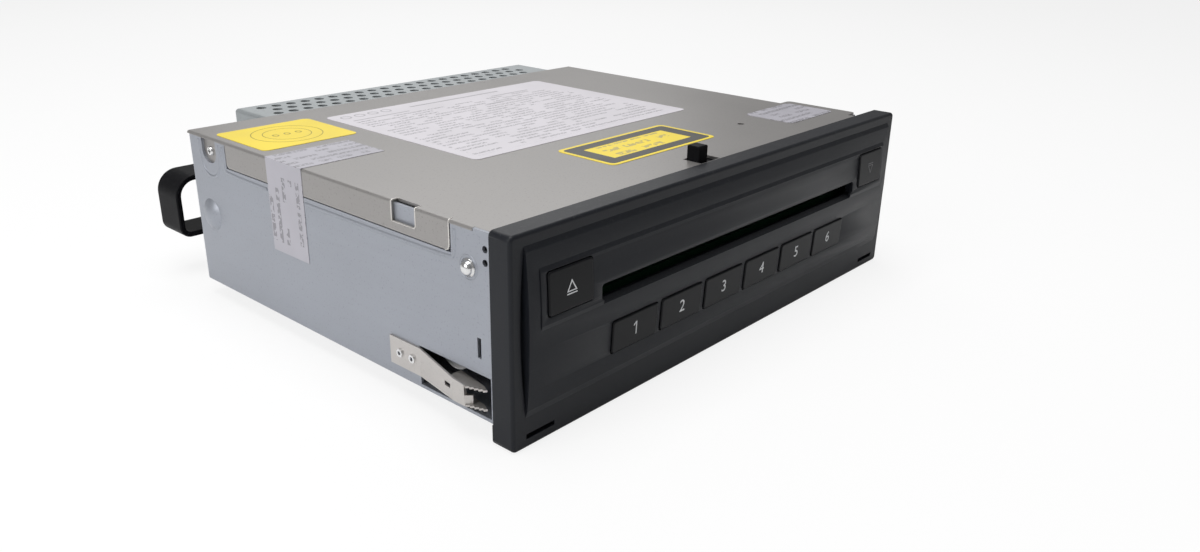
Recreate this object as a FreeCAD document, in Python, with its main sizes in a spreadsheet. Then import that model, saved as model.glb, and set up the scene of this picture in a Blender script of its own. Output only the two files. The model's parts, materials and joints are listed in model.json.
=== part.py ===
import FreeCAD, Part

import math
import os

import Sketcher

# In-dash compact disc changer: six discs in a lifting stack behind a moulded fascia.
# Millimetres. X runs to the right as seen from the front, Y to the back, Z up.
# The origin lies on the fascia's rear seating face, at the middle of the lip under the chassis.

SIZES = {
    # fascia moulding
    "bezel_width": 180.0,
    "bezel_height": 53.5,
    "bezel_thick": 7.0,
    "bezel_corner": 1.4,
    "bezel_edge": 0.9,
    "lip_drop": 5.3,
    "panel_border": 4.1,
    "panel_low": 8.2,
    "panel_high": 50.5,
    "panel_step": 0.6,
    "panel_bevel_low": 1.9,
    "panel_bevel_high": 1.3,
    "panel_bulge": 1.0,
    "brow_side": 3.7,
    "brow_low": 29.6,
    "brow_high": 44.7,
    "brow_raise": 0.3,
    "brow_bevel": 1.1,
    "scoop_low": 10.4,
    "scoop_high": 49.2,
    "scoop_bulge": 1.4,
    "scoop_depth": 1.1,
    "slot_width": 123.8,
    "slot_height": 4.3,
    "slot_middle": 33.0,
    "slot_slope": 1.3,
    "slope_lap": 0.2,
    "cavity_side": 5.0,
    "cavity_low": 12.0,
    "cavity_high": 48.0,
    "cavity_depth": 6.3,
    "cavity_skin": 1.0,
    "release_width": 9.4,
    "release_height": 1.3,
    "release_edge": 9.0,
    "release_middle": 3.1,
    "hook_width": 9.0,
    "hook_thick": 1.4,
    "hook_reach": 5.9,
    "hook_centre": 52.0,
    "hook_gap": 0.2,
    "seat_step": 0.3,
    # keys in the fascia
    "key_gap": 3.1,
    "key_edge": 5.5,
    "key_height": 11.2,
    "key_middle": 37.85,
    "number_pitch": 19.4,
    "number_width": 18.2,
    "number_height": 9.3,
    "number_middle": 19.3,
    "key_clear": 0.25,
    "key_proud": 0.4,
    "key_travel": 0.8,
    "key_round": 0.4,
    "key_corner": 0.9,
    "flange_side": 0.6,
    "flange_thick": 1.0,
    "flange_gap": 0.05,
    # key board behind the keys
    "board_thick": 1.6,
    "board_gap": 0.8,
    "board_clear": 4.1,
    "board_side": 0.6,
    "switch_size": 4.8,
    "switch_body": 1.5,
    "plunger_radius": 1.2,
    "plunger_gap": 0.05,
    "post_radius": 1.5,
    "post_inset": 1.8,
    "post_rise": 1.2,
    "screw_radius": 0.8,
    "screw_head": 1.4,
    "screw_head_thick": 0.7,
    # chassis box
    "chassis_side": 0.5,
    "chassis_step": 12.0,
    "chassis_depth": 134.4,
    "top_step": 0.8,
    "sheet": 0.8,
    "fold_gap": 0.1,
    "wall_round": 1.6,
    "flange_high": 7.5,
    "flange_front": 13.6,
    "flange_rear": 112.5,
    "flange_corner": 1.4,
    "rim_gap": 0.3,
    "lid_step": 5.6,
    "rim_front": 0.6,
    "notch_front": 25.6,
    "notch_rear": 34.7,
    "notch_rise": 5.2,
    "notch_in": 1.4,
    "jog_wide": 3.0,
    "window_front": 0.6,
    "window_rear": 26.6,
    "window_low": 0.9,
    "window_high": 11.6,
    "dome_radius": 5.0,
    "dome_rise": 1.8,
    "dome_back": 9.3,
    "dome_level": 25.5,
    "pin_radius": 2.3,
    "pin_rise": 1.7,
    "pin_shank": 1.2,
    "pin_back": 7.2,
    "pin_level": 40.2,
    "latch_hole": 0.85,
    "latch_back": 1.5,
    "latch_level": 45.9,
    "latch_pitch": 3.2,
    "trough_back": 3.6,
    "trough_wide": 2.6,
    "trough_low": 18.4,
    "trough_high": 23.6,
    "corner_slot": 8.0,
    "corner_slot_back": 16.2,
    "corner_slot_drop": 7.0,
    "corner_tab": 10.6,
    "ear_reach": 5.5,
    "ear_front": 4.0,
    "ear_rear": 30.5,
    "peep_hole": 1.1,
    "peep_across": 39.8,
    "peep_back": 21.7,
    # rear ventilated box
    "vent_left": 64.0,
    "vent_right": 66.5,
    "vent_depth": 18.4,
    "vent_height": 24.0,
    "vent_round": 1.2,
    "vent_hole": 1.65,
    "vent_pitch": 5.55,
    "vent_row": 5.25,
    "vent_edge": 6.9,
    "vent_first": 2.5,
    "vent_count": 21,
    "support_radius": 2.5,
    "support_boss": 4.0,
    "support_deep": 5.0,
    "support_centre": 20.0,
    "support_level": 7.5,
    # rear socket
    "socket_width": 38.0,
    "socket_height": 13.0,
    "socket_deep": 9.0,
    "socket_wall": 1.5,
    "socket_cavity": 7.0,
    "socket_proud": 2.4,
    "socket_centre": -20.0,
    "socket_fit": 0.2,
    "contact_size": 0.6,
    "contact_long": 2.4,
    "contact_pitch": 3.4,
    # moulded pull loop
    "loop_gap": 15.6,
    "loop_deep": 13.0,
    "loop_low": 11.0,
    "loop_high": 31.5,
    "loop_wide": 19.8,
    "loop_inset": 0.7,
    "loop_band": 1.8,
    "loop_foot": 4.0,
    "loop_corner": 7.0,
    "loop_corner_low": 3.6,
    "loop_edge": 0.5,
    # spring clips
    "leaf": 0.5,
    "clip_plate_rear": 38.0,
    "clip_bend": 26.0,
    "clip_tip": 6.9,
    "clip_low": 3.4,
    "clip_high": 11.1,
    "clip_drop": 2.2,
    "clip_bow": 2.4,
    "clip_flat": 4.0,
    "clip_hook": 1.5,
    "clip_lip": 2.8,
    "clip_slot": 2.4,
    "tooth_deep": 0.6,
    "wing_reach": 5.8,
    "wing_lean": 1.9,
    "wing_behind": 2.4,
    "wing_teeth": 5.0,
    "rivet_radius": 1.1,
    "rivet_first": 29.1,
    "rivet_pitch": 4.9,
    "rivet_rise": 0.4,
    # lock slider on the top
    "lock_size": 4.0,
    "lock_rise": 4.4,
    "lock_travel": 3.6,
    "lock_window": 8.8,
    "lock_window_deep": 6.4,
    "lock_window_left": -9.4,
    "lock_window_front": 1.6,
    "lock_plate": 14.0,
    "lock_plate_thick": 1.0,
    "lock_side": 4.0,
    # labels
    "paper": 0.12,
    "paper_corner": 2.0,
    "white_across": -3.2,
    "white_back": 83.7,
    "white_width": 95.6,
    "white_length": 72.6,
    "caution_across": -4.4,
    "caution_back": 28.05,
    "caution_width": 48.0,
    "caution_length": 21.9,
    "stamp_side": 2.9,
    "stamp_back": 109.5,
    "stamp_width": 31.4,
    "stamp_length": 27.8,
    "pale_side": -1.4,
    "pale_back": 19.4,
    "pale_width": 27.0,
    "pale_length": 18.4,
    "seal_front": 73.0,
    "seal_rear": 90.4,
    "seal_over": 26.9,
    "seal_low": 26.0,
    # front plate and disc feed
    "plate_front": 2.4,
    "plate_side": 4.0,
    "plate_low": 2.0,
    "plate_high": 3.0,
    "plate_foot": 30.0,
    "foot_half": 4.0,
    "foot_rise": 3.0,
    "window_side": 1.0,
    "shelf_side": 6.0,
    "shelf_deep": 7.0,
    "feed_window": 6.0,
    "shutter_thick": 0.7,
    "shutter_gap": 0.3,
    "shutter_height": 5.4,
    "shutter_lap": 0.6,
    "rail_wide": 2.0,
    "roller_back": 10.0,
    "roller_gap": 0.75,
    "roller_radius": 3.4,
    "roller_waist": 0.7,
    "shaft_radius": 1.5,
    "shaft_end": 1.5,
    "sleeve_start": 8.0,
    "sleeve_long": 52.0,
    "running": 0.05,
    "cheek_gap": 2.4,
    "cheek_deep": 24.0,
    "cheek_low": 3.0,
    "gear_gap": 0.5,
    "gear_wide": 2.4,
    "feed_module": 0.5,
    "roller_teeth": 20,
    "idler_teeth": 24,
    "pinion_teeth": 10,
    "motor_radius": 6.0,
    "motor_room": 3.7,
    "motor_shaft": 0.7,
    "guide_deep": 10.8,
    "guide_thick": 1.4,
    "guide_side": 0.8,
    "lip_back": 3.0,
    # disc stack and lift
    "tray_front": 14.6,
    "tray_rear": 132.4,
    "tray_half": 61.4,
    "tray_thick": 0.9,
    "tray_pitch": 2.6,
    "tray_mouth": 19.0,
    "disc_centre": 73.4,
    "disc_gap": 0.6,
    "lift_low": 2.8,
    "lift_high": 13.0,
    "lift_ratio": 2.0,
    "frame_thick": 1.4,
    "frame_front": 24.0,
    "frame_drop": 1.2,
    "follower_radius": 1.2,
    "follower_first": 47.0,
    "follower_pitch": 45.0,
    "follower_level": 18.0,
    "follower_clear": 0.3,
    "cam_gap": 0.6,
    "cam_thick": 1.2,
    "cam_front": 18.0,
    "cam_rear": 102.0,
    "cam_low": 5.0,
    "rack_level": 36.5,
    "rack_module": 0.8,
    "rail_tall": 3.6,
    "rail_gap": 0.15,
    "rail_wall": 1.4,
    "rail_end": 3.0,
    "lift_teeth": 14,
    "lift_gear_back": 70.0,
    "lift_gear_wide": 1.6,
    "lift_motor_room": 8.4,
    "lift_motor_radius": 5.7,
    "bracket_half": 7.0,
    "bracket_gap": 0.3,
    "bracket_thick": 1.0,
    # player
    "deck_level": 6.0,
    "deck_thick": 1.0,
    "deck_half": 48.0,
    "deck_front": 5.0,
    "deck_rear": 122.0,
    "deck_slot": 12.0,
    "damper_radius": 4.0,
    "damper_edge": 8.0,
    "spindle_radius": 10.0,
    "spindle_tall": 4.4,
    "platter_radius": 14.0,
    "platter_tall": 2.2,
    "platter_gap": 0.6,
    "hub_radius": 7.3,
    "hub_tall": 2.2,
    "rod_radius": 1.0,
    "rod_side": 16.5,
    "rod_level": 10.0,
    "rod_front": 7.0,
    "rod_rear": 62.0,
    "rod_block": 3.6,
    "sled_near": 24.0,
    "sled_ahead": 5.0,
    "sled_behind": 8.5,
    "sled_half": 19.0,
    "sled_tall": 4.2,
    "lens_radius": 2.4,
    "lens_tall": 1.2,
    "screw_side": 26.0,
    "lead_radius": 1.2,
    "nut_wall": 1.2,
    "nut_inset": 2.0,
    "nut_long": 5.0,
    "sled_gap": 0.5,
    "motor_foot": 6.0,
    "sled_motor_radius": 2.7,
    "sled_motor_long": 12.0,
    "side_board_gap": 2.0,
    "side_board_front": 38.0,
    "side_board_rear": 128.0,
    "side_board_low": 7.0,
    "side_board_high": 32.0,
    "board_foot": 4.0,
    "chip_size": 16.0,
    "chip_back": 84.0,
    "chip_pitch": 24.0,
    "chip_thick": 1.4,
}

doc = FreeCAD.newDocument("disc_changer")
sheet = doc.addObject("Spreadsheet::Sheet", "Sizes")
for row, (word, number) in enumerate(SIZES.items(), start=1):
    sheet.set("A%d" % row, word)
    sheet.set("B%d" % row, str(number))
    sheet.setAlias("B%d" % row, word)
doc.recompute()


class Size:
    """A length with its value now and the expression that keeps it tied to the sheet."""

    def __init__(self, value, text):
        self.value = value
        self.text = text

    @staticmethod
    def of(number):
        return number if isinstance(number, Size) else Size(float(number), repr(float(number)))

    def __add__(self, other):
        other = Size.of(other)
        return Size(self.value + other.value, "(%s + %s)" % (self.text, other.text))

    def __sub__(self, other):
        other = Size.of(other)
        return Size(self.value - other.value, "(%s - %s)" % (self.text, other.text))

    def __mul__(self, other):
        other = Size.of(other)
        return Size(self.value * other.value, "(%s * %s)" % (self.text, other.text))

    def __truediv__(self, other):
        other = Size.of(other)
        return Size(self.value / other.value, "(%s / %s)" % (self.text, other.text))

    def __radd__(self, other):
        return Size.of(other) + self

    def __rsub__(self, other):
        return Size.of(other) - self

    def __rmul__(self, other):
        return Size.of(other) * self

    def __neg__(self):
        return Size(-self.value, "(0 - %s)" % self.text)

    def root(self):
        return Size(math.sqrt(self.value), "sqrt(%s)" % self.text)


class Named:
    """The sheet's cells as attributes."""

    def __getattr__(self, word):
        return Size(float(sheet.get(word)), "Sizes." + word)


s = Named()
nodes = {}


def bind(thing, prop, size):
    thing.setExpression(prop, Size.of(size).text)


def node(label, thing):
    """Name a finished sub-part."""
    thing.Label = label
    nodes[label] = thing
    return thing


def settle():
    doc.recompute()


# ---- primitives and booleans ----

def box(low, high, name="Block"):
    block = doc.addObject("Part::Box", name)
    for side, axis, a, b in zip(("Length", "Width", "Height"), "xyz", low, high):
        bind(block, side, Size.of(b) - a)
        bind(block, "Placement.Base." + axis, a)
    return block


AXES = {
    "x": FreeCAD.Rotation(FreeCAD.Vector(0, 1, 0), 90),
    "y": FreeCAD.Rotation(FreeCAD.Vector(1, 0, 0), -90),
    "z": FreeCAD.Rotation(),
}


def turned(thing, base, axis):
    thing.Placement = FreeCAD.Placement(FreeCAD.Vector(), AXES[axis])
    for letter, size in zip("xyz", base):
        bind(thing, "Placement.Base." + letter, size)
    return thing


def rod(base, radius, length, axis, name="Rod"):
    """A cylinder that starts at base and runs along +axis."""
    bar = doc.addObject("Part::Cylinder", name)
    bind(bar, "Radius", radius)
    bind(bar, "Height", length)
    return turned(bar, base, axis)


def cone(base, radius, top_radius, length, axis, name="Taper"):
    bar = doc.addObject("Part::Cone", name)
    bind(bar, "Radius1", radius)
    bind(bar, "Radius2", top_radius)
    bind(bar, "Height", length)
    return turned(bar, base, axis)


def fuse(*things, name="Joined"):
    if len(things) == 1:
        return things[0]
    joined = doc.addObject("Part::MultiFuse", name)
    joined.Shapes = list(things)
    return joined


def cut(base, *tools, name="Trimmed"):
    trimmed = doc.addObject("Part::Cut", name)
    trimmed.Base = base
    trimmed.Tool = fuse(*tools)
    return trimmed


def common(first, second, name="Shared"):
    shared = doc.addObject("Part::Common", name)
    shared.Base = first
    shared.Tool = second
    return shared


def group(*things, name="Group"):
    """Separate solids that share one node."""
    bundle = doc.addObject("Part::Compound", name)
    bundle.Links = list(things)
    return bundle


def rounded(thing, radius, choose, name="Rounded"):
    """Fillet the edges that choose picks from the settled shape."""
    settle()
    soft = doc.addObject("Part::Fillet", name)
    soft.Base = thing
    picked = [i for i, edge in enumerate(thing.Shape.Edges, start=1) if choose(edge)]
    soft.Edges = [(i, radius.value, radius.value) for i in picked]
    return soft


# ---- sketched bodies ----

def body(name):
    return doc.addObject("PartDesign::Body", name)


def sketch(owner, plane, offset=None):
    """A sketch on one of the body's own origin planes, moved out along its normal by offset."""
    drawing = owner.newObject("Sketcher::SketchObject", "Sketch")
    origin = next(f for f in owner.Origin.OriginFeatures if f.Role == plane)
    drawing.AttachmentSupport = [(origin, "")]
    drawing.MapMode = "FlatFace"
    if offset is not None:
        bind(drawing, "AttachmentOffset.Base.z", offset)
    return drawing


def vector(point):
    return FreeCAD.Vector(Size.of(point[0]).value, Size.of(point[1]).value, 0)


def arc_between(start, end, radius, turn):
    """The arc from start to end that turns left (+1) or right (-1)."""
    a = vector(start)
    b = vector(end)
    half = (b - a) * 0.5
    reach = math.sqrt(max(radius.value ** 2 - half.Length ** 2, 0.0))
    left = FreeCAD.Vector(-half.y, half.x, 0).normalize()
    centre = a + half + left * (reach * turn)
    first = math.atan2(a.y - centre.y, a.x - centre.x)
    last = math.atan2(b.y - centre.y, b.x - centre.x)
    if turn < 0:
        first, last = last, first
    circle = Part.Circle(centre, FreeCAD.Vector(0, 0, 1), radius.value)
    return Part.ArcOfCircle(circle, first, last)


def outline(drawing, points, arcs=None):
    """A closed outline through points, each held by the sheet. arcs: edge index to (radius, turn)."""
    arcs = arcs or {}
    count = len(points)
    ends = []
    for i, point in enumerate(points):
        following = points[(i + 1) % count]
        if i in arcs:
            radius, turn = arcs[i]
            edge = drawing.addGeometry(arc_between(point, following, radius, turn))
            ends.append((edge, 1, 2) if turn > 0 else (edge, 2, 1))
        else:
            edge = drawing.addGeometry(Part.LineSegment(vector(point), vector(following)))
            ends.append((edge, 1, 2))
    for i in range(count):
        before = ends[i - 1]
        here = ends[i]
        drawing.addConstraint(Sketcher.Constraint("Coincident", before[0], before[2], here[0], here[1]))
    for i, point in enumerate(points):
        edge, start, _ = ends[i]
        for kind, size in zip(("DistanceX", "DistanceY"), point):
            size = Size.of(size)
            rule = drawing.addConstraint(Sketcher.Constraint(kind, -1, 1, edge, start, size.value))
            bind(drawing, "Constraints[%d]" % rule, size)
    for i, (radius, _) in arcs.items():
        rule = drawing.addConstraint(Sketcher.Constraint("Radius", ends[i][0], radius.value))
        bind(drawing, "Constraints[%d]" % rule, radius)
    return drawing


def rectangle(drawing, low, high):
    return outline(drawing, [low, (high[0], low[1]), high, (low[0], high[1])])


def rounded_rectangle(drawing, low, high, radius):
    """A rectangle whose corners are quarter circles."""
    x0, y0 = low
    x1, y1 = high
    ring = [(x0 + radius, y0), (x1 - radius, y0), (x1, y0 + radius), (x1, y1 - radius),
            (x1 - radius, y1), (x0 + radius, y1), (x0, y1 - radius), (x0, y0 + radius)]
    return outline(drawing, ring, {corner: (radius, 1) for corner in (1, 3, 5, 7)})


def disc_outline(drawing, centre, radius):
    ring = drawing.addGeometry(Part.Circle(vector(centre), FreeCAD.Vector(0, 0, 1), radius.value))
    for kind, size in zip(("DistanceX", "DistanceY"), centre):
        size = Size.of(size)
        rule = drawing.addConstraint(Sketcher.Constraint(kind, -1, 1, ring, 3, size.value))
        bind(drawing, "Constraints[%d]" % rule, size)
    rule = drawing.addConstraint(Sketcher.Constraint("Radius", ring, radius.value))
    bind(drawing, "Constraints[%d]" % rule, radius)
    return drawing


def pad(owner, drawing, length, middle=False, back=False):
    feature = owner.newObject("PartDesign::Pad", "Pad")
    feature.Profile = drawing
    bind(feature, "Length", length)
    feature.Midplane = middle
    feature.Reversed = back
    return feature


def pocket(owner, drawing, length, back=False, middle=False):
    settle()
    before = owner.Shape.Volume
    feature = owner.newObject("PartDesign::Pocket", "Pocket")
    feature.Profile = drawing
    bind(feature, "Length", length)
    feature.Midplane = middle
    feature.Reversed = back
    settle()
    if owner.Shape.Volume > before - 1e-6:
        raise RuntimeError("a pocket of %s cuts nothing" % owner.Label)
    return feature


def soften(owner, radius, choose, kind="PartDesign::Fillet"):
    """Fillet or chamfer the body's edges that choose picks."""
    settle()
    tip = owner.Tip
    picked = ["Edge%d" % i for i, edge in enumerate(tip.Shape.Edges, start=1) if choose(edge)]
    feature = owner.newObject(kind, "Softened")
    feature.Base = (tip, picked)
    bind(feature, "Radius" if kind.endswith("Fillet") else "Size", radius)
    return feature


def along(edge, axis):
    """True where a straight edge runs along the axis."""
    if edge.Curve.TypeId != "Part::GeomLine":
        return False
    run = edge.Vertexes[-1].Point - edge.Vertexes[0].Point
    return abs(abs(getattr(run, axis)) - run.Length) < 1e-6


def level(edge, axis, size):
    """True where the whole edge lies in the plane axis = size."""
    box_ = edge.BoundBox
    value = Size.of(size).value
    low = getattr(box_, axis.upper() + "Min")
    high = getattr(box_, axis.upper() + "Max")
    return abs(low - value) < 1e-4 and abs(high - value) < 1e-4


# ---- places that several pieces share ----

base = -s.lip_drop / 2
bezel_top = base + s.bezel_height
front = -s.bezel_thick
floor = s.lip_drop / 2
roof = bezel_top - s.top_step
roof_under = roof - s.sheet
floor_top = floor + s.sheet
rear = s.chassis_depth
half_width = s.bezel_width / 2
left = s.chassis_side - half_width
right = half_width - s.chassis_step
seat = -s.seat_step
slot_half = s.slot_width / 2
panel_half = half_width - s.panel_border
key_out = panel_half - s.key_edge
key_in = slot_half + s.key_gap
key_centre = (key_out + key_in) / 2
key_width = key_out - key_in
board_wing = slot_half + s.board_clear
cavity_half = panel_half - s.cavity_side / 2
release_centre = half_width - s.release_edge
slot_level = base + s.slot_middle
panel_chord = s.panel_high - s.panel_bevel_high - s.panel_low - s.panel_bevel_low
panel_radius = (panel_chord * panel_chord / 4 + s.panel_bulge * s.panel_bulge) / (2 * s.panel_bulge)
panel_middle = base + (s.panel_high - s.panel_bevel_high + s.panel_low + s.panel_bevel_low) / 2
panel_axis = front - s.panel_step - s.panel_bulge + panel_radius
crown = front - s.panel_step - s.panel_bulge


def crown_at(height, raised=0.0):
    """Y of the crowned fascia surface at a height, lifted off it by raised."""
    radius = panel_radius + raised
    rise = height - panel_middle
    return panel_axis - (radius * radius - rise * rise).root()


def key_places():
    """Label, centre X, centre Z, width, height and lift off the crown of each key."""
    high = s.brow_raise + s.key_proud
    row = [("eject_button", -key_centre, base + s.key_middle, key_width, s.key_height, high),
           ("load_button", key_centre, base + s.key_middle, key_width, s.key_height, high)]
    for k in range(6):
        across = s.number_pitch * (k - 2.5)
        row.append(("disc_button_%d" % (k + 1), across, base + s.number_middle,
                    s.number_width, s.number_height, s.key_proud))
    return row


board_front = -s.board_gap - s.board_thick
corner_back = rear - s.corner_slot_back + s.corner_slot / 2
corner_level = roof_under - s.corner_slot_drop / 2
cavity_front = -s.cavity_depth
low_post = base + s.cavity_low + s.post_inset + s.post_rise
high_post = base + s.cavity_high - s.post_inset
wing_post = board_wing + s.post_inset
post_places = [(-key_centre, low_post), (key_centre, low_post)]
post_places += [(-wing_post, high_post), (wing_post, high_post)]


# ---- fascia and keys ----

def make_bezel():
    shell = body("Bezel")
    outer = rectangle(sketch(shell, "XZ_Plane"), (-half_width, base), (half_width, bezel_top))
    pad(shell, outer, s.bezel_thick)
    soften(shell, s.bezel_corner, lambda e: along(e, "y"))
    soften(shell, s.bezel_edge, lambda e: level(e, "y", front))
    inside = front + s.cavity_skin / 2
    low = base + s.panel_low
    high = base + s.panel_high
    profile = [(inside, low), (front, low),
               (front - s.panel_step, low + s.panel_bevel_low),
               (front - s.panel_step, high - s.panel_bevel_high),
               (front, high), (inside, high)]
    pad(shell, outline(sketch(shell, "YZ_Plane"), profile, {2: (panel_radius, -1)}),
        panel_half * 2, middle=True)
    brow_low = base + s.brow_low
    brow_high = base + s.brow_high
    band_low = brow_low + s.brow_bevel
    band_high = brow_high - s.brow_bevel
    band = [(inside, brow_low), (crown_at(brow_low), brow_low),
            (crown_at(band_low, s.brow_raise), band_low), (crown_at(band_high, s.brow_raise), band_high),
            (crown_at(brow_high), brow_high), (inside, brow_high)]
    pad(shell, outline(sketch(shell, "YZ_Plane"), band, {2: (panel_radius + s.brow_raise, -1)}),
        (panel_half - s.brow_side) * 2, middle=True)
    scoop_chord = s.scoop_high - s.scoop_low
    scoop_radius = (scoop_chord * scoop_chord / 4 + s.scoop_bulge * s.scoop_bulge) / (2 * s.scoop_bulge)
    scoops = sketch(shell, "XZ_Plane", s.bezel_thick)
    for side, turn in ((-1, 1), (1, -1)):
        ends = [(side * panel_half, base + s.scoop_high), (side * panel_half, base + s.scoop_low)]
        outline(scoops, ends, {0: (scoop_radius, turn)})
    pocket(shell, scoops, s.scoop_depth)
    hollow = sketch(shell, "XZ_Plane")
    rectangle(hollow, (-cavity_half, base + s.cavity_low), (cavity_half, base + s.cavity_high))
    pocket(shell, hollow, s.cavity_depth, back=True)
    mouths = sketch(shell, "XZ_Plane")
    slot_low = slot_level - s.slot_height / 2
    rounded_rectangle(mouths, (-slot_half, slot_low), (slot_half, slot_low + s.slot_height), s.key_corner)
    for _, x, z, width, height, _ in key_places():
        low = (x - width / 2, z - height / 2)
        high = (x + width / 2, z + height / 2)
        rounded_rectangle(mouths, low, high, s.key_corner)
    for side in (-1, 1):
        x = side * release_centre
        z = base + s.release_middle
        rectangle(mouths, (x - s.release_width / 2, z - s.release_height / 2),
                  (x + s.release_width / 2, z + s.release_height / 2))
    pocket(shell, mouths, s.bezel_thick * 2, back=True)
    slope = [(crown - s.brow_raise, slot_low - s.slot_slope), (front, slot_low + s.slope_lap),
             (crown - s.slot_slope, slot_low + s.slope_lap)]
    pocket(shell, outline(sketch(shell, "YZ_Plane"), slope), (slot_half - s.key_corner) * 2, middle=True)
    behind = sketch(shell, "XZ_Plane")
    rectangle(behind, (-half_width - 1, floor), (half_width + 1, bezel_top + 1))
    pocket(shell, behind, s.seat_step, back=True)
    posts = sketch(shell, "XZ_Plane", s.cavity_depth)
    for place in post_places:
        disc_outline(posts, place, s.post_radius)
    pad(shell, posts, s.cavity_depth - s.board_gap - s.board_thick, back=True)
    hooks = sketch(shell, "XZ_Plane", s.seat_step)
    for side in (-1, 1):
        x = side * s.hook_centre
        for z in (floor_top + s.hook_gap, roof_under - s.hook_gap - s.hook_thick):
            rectangle(hooks, (x - s.hook_width / 2, z), (x + s.hook_width / 2, z + s.hook_thick))
    pad(shell, hooks, s.seat_step + s.hook_reach, back=True)
    node("bezel", shell)


def make_key(label, x, z, width, height, raised):
    """A crowned key cap with a retaining flange behind the fascia wall."""
    gap = s.key_clear
    half = width / 2 - gap
    tall = height / 2 - gap
    back = cavity_front + s.flange_gap
    stem = box((x - half, crown - s.key_proud * 2, z - tall), (x + half, back + s.flange_thick, z + tall))
    crowned = rod((x - half - 1, panel_axis, panel_middle), panel_radius + raised, 2 * half + 2, "x")
    stem = rounded(stem, s.key_corner, lambda e: along(e, "y"))
    cap = common(stem, crowned)
    edge = (back - s.flange_thick).value
    cap = rounded(cap, s.key_round, lambda e: e.BoundBox.YMax < edge)
    flange = box((x - half - s.flange_side, back, z - tall - s.flange_side),
                 (x + half + s.flange_side, back + s.flange_thick, z + tall + s.flange_side))
    node(label, fuse(cap, flange))


def make_board():
    """The key board with its wings, and the switches and screws on it."""
    rim = cavity_half - s.board_side
    low = base + s.cavity_low + s.board_side
    middle = slot_level - s.slot_height / 2 - s.board_side
    high = base + s.cavity_high - s.board_side
    strip = box((-rim, board_front, low), (rim, -s.board_gap, middle))
    wings = [box((-rim, board_front, low), (-board_wing, -s.board_gap, high)),
             box((board_wing, board_front, low), (rim, -s.board_gap, high))]
    holes = [rod((x, board_front - 1, z), s.screw_radius, s.board_thick + 2, "y") for x, z in post_places]
    node("button_board", cut(fuse(strip, *wings), *holes))
    flange_back = cavity_front + s.flange_gap + s.flange_thick
    switches = []
    for _, x, z, _, _, _ in key_places():
        half = s.switch_size / 2
        case = box((x - half, board_front - s.switch_body, z - half), (x + half, board_front, z + half))
        reach = board_front - s.switch_body - flange_back - s.key_travel - s.plunger_gap
        tip = flange_back + s.key_travel + s.plunger_gap
        switches.append(fuse(case, rod((x, tip, z), s.plunger_radius, reach, "y")))
    node("button_switches", group(*switches))


# ---- chassis box ----

def make_chassis():
    frame = body("Frame")
    t = s.sheet
    walls = [(left, seat), (left + t, seat), (left + t, rear - t), (right - t, rear - t),
             (right - t, seat), (right, seat), (right, rear), (left, rear)]
    pad(frame, outline(sketch(frame, "XY_Plane", floor), walls), roof_under - floor)
    soften(frame, s.wall_round, lambda e: along(e, "z") and level(e, "y", rear))
    drop = s.flange_high - s.sheet
    upper = sketch(frame, "YZ_Plane")
    rectangle(upper, (s.flange_front - s.rim_front, roof_under - drop - s.rim_gap),
              (s.flange_rear + s.rim_gap, roof_under + 1))
    pocket(frame, upper, s.bezel_width * 2, middle=True)
    windows = sketch(frame, "YZ_Plane")
    rectangle(windows, (s.window_front, floor + s.window_low), (s.window_rear, floor + s.window_high))
    rectangle(windows, (s.trough_back, base + s.trough_low + s.lip_drop / 2),
              (s.trough_back + s.trough_wide / 2, base + s.trough_high + s.lip_drop / 2))
    rounded_rectangle(windows, (rear - s.corner_slot_back, roof_under - s.corner_slot_drop),
                      (rear - s.corner_slot_back + s.corner_slot, roof_under + s.corner_slot),
                      s.corner_slot * 0.45)
    for k in range(2):
        disc_outline(windows, (s.latch_back, s.latch_level - s.latch_pitch * k), s.latch_hole)
    disc_outline(windows, (s.pin_back, s.pin_level), s.pin_shank)
    pocket(frame, windows, s.bezel_width * 2, middle=True)
    behind = sketch(frame, "XZ_Plane")
    mid = s.socket_centre
    z = roof_under - s.vent_height / 2
    room = s.socket_fit
    rectangle(behind, (mid - s.socket_width / 2 - room, z - s.socket_height / 2 - room),
              (mid + s.socket_width / 2 + room, z + s.socket_height / 2 + room))
    pocket(frame, behind, rear + 5)
    solid = frame
    tabs = [box((left, seat, roof_under), (left + t, s.lid_step - s.rim_gap, roof))]
    for side, wall in ((1, left), (-1, right)):
        edge = wall + side * t
        low_x, high_x = (edge, edge + t) if side > 0 else (edge - t, edge)
        tabs.append(box((low_x, s.flange_front - s.jog_wide, roof_under - drop - s.jog_wide),
                        (high_x, s.flange_rear + s.jog_wide, roof_under)))
        domed = doc.addObject("Part::Sphere", "Dome")
        curve = (s.dome_radius * s.dome_radius + s.dome_rise * s.dome_rise) / (2 * s.dome_rise)
        bind(domed, "Radius", curve)
        centre = wall - side * s.dome_rise + side * curve
        turned(domed, (centre, rear - s.dome_back, s.dome_level), "z")
        keep_low, keep_high = wall - t / 2, wall + s.dome_rise
        if side > 0:
            keep_low, keep_high = wall - s.dome_rise, wall + t / 2
        slab = box((keep_low, rear - s.dome_back - s.dome_radius, s.dome_level - s.dome_radius),
                   (keep_high, rear - s.dome_back + s.dome_radius, s.dome_level + s.dome_radius))
        tabs.append(common(domed, slab))
    boss = rod((s.support_centre, rear - s.sheet - s.support_deep, s.support_level), s.support_boss,
               s.support_deep + s.sheet, "y")
    bore = rod((s.support_centre, rear - s.sheet - s.support_deep - 1, s.support_level), s.support_radius,
               s.support_deep + s.sheet + 2, "y")
    node("chassis_frame", cut(fuse(solid, boss, *tabs), bore))


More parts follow.
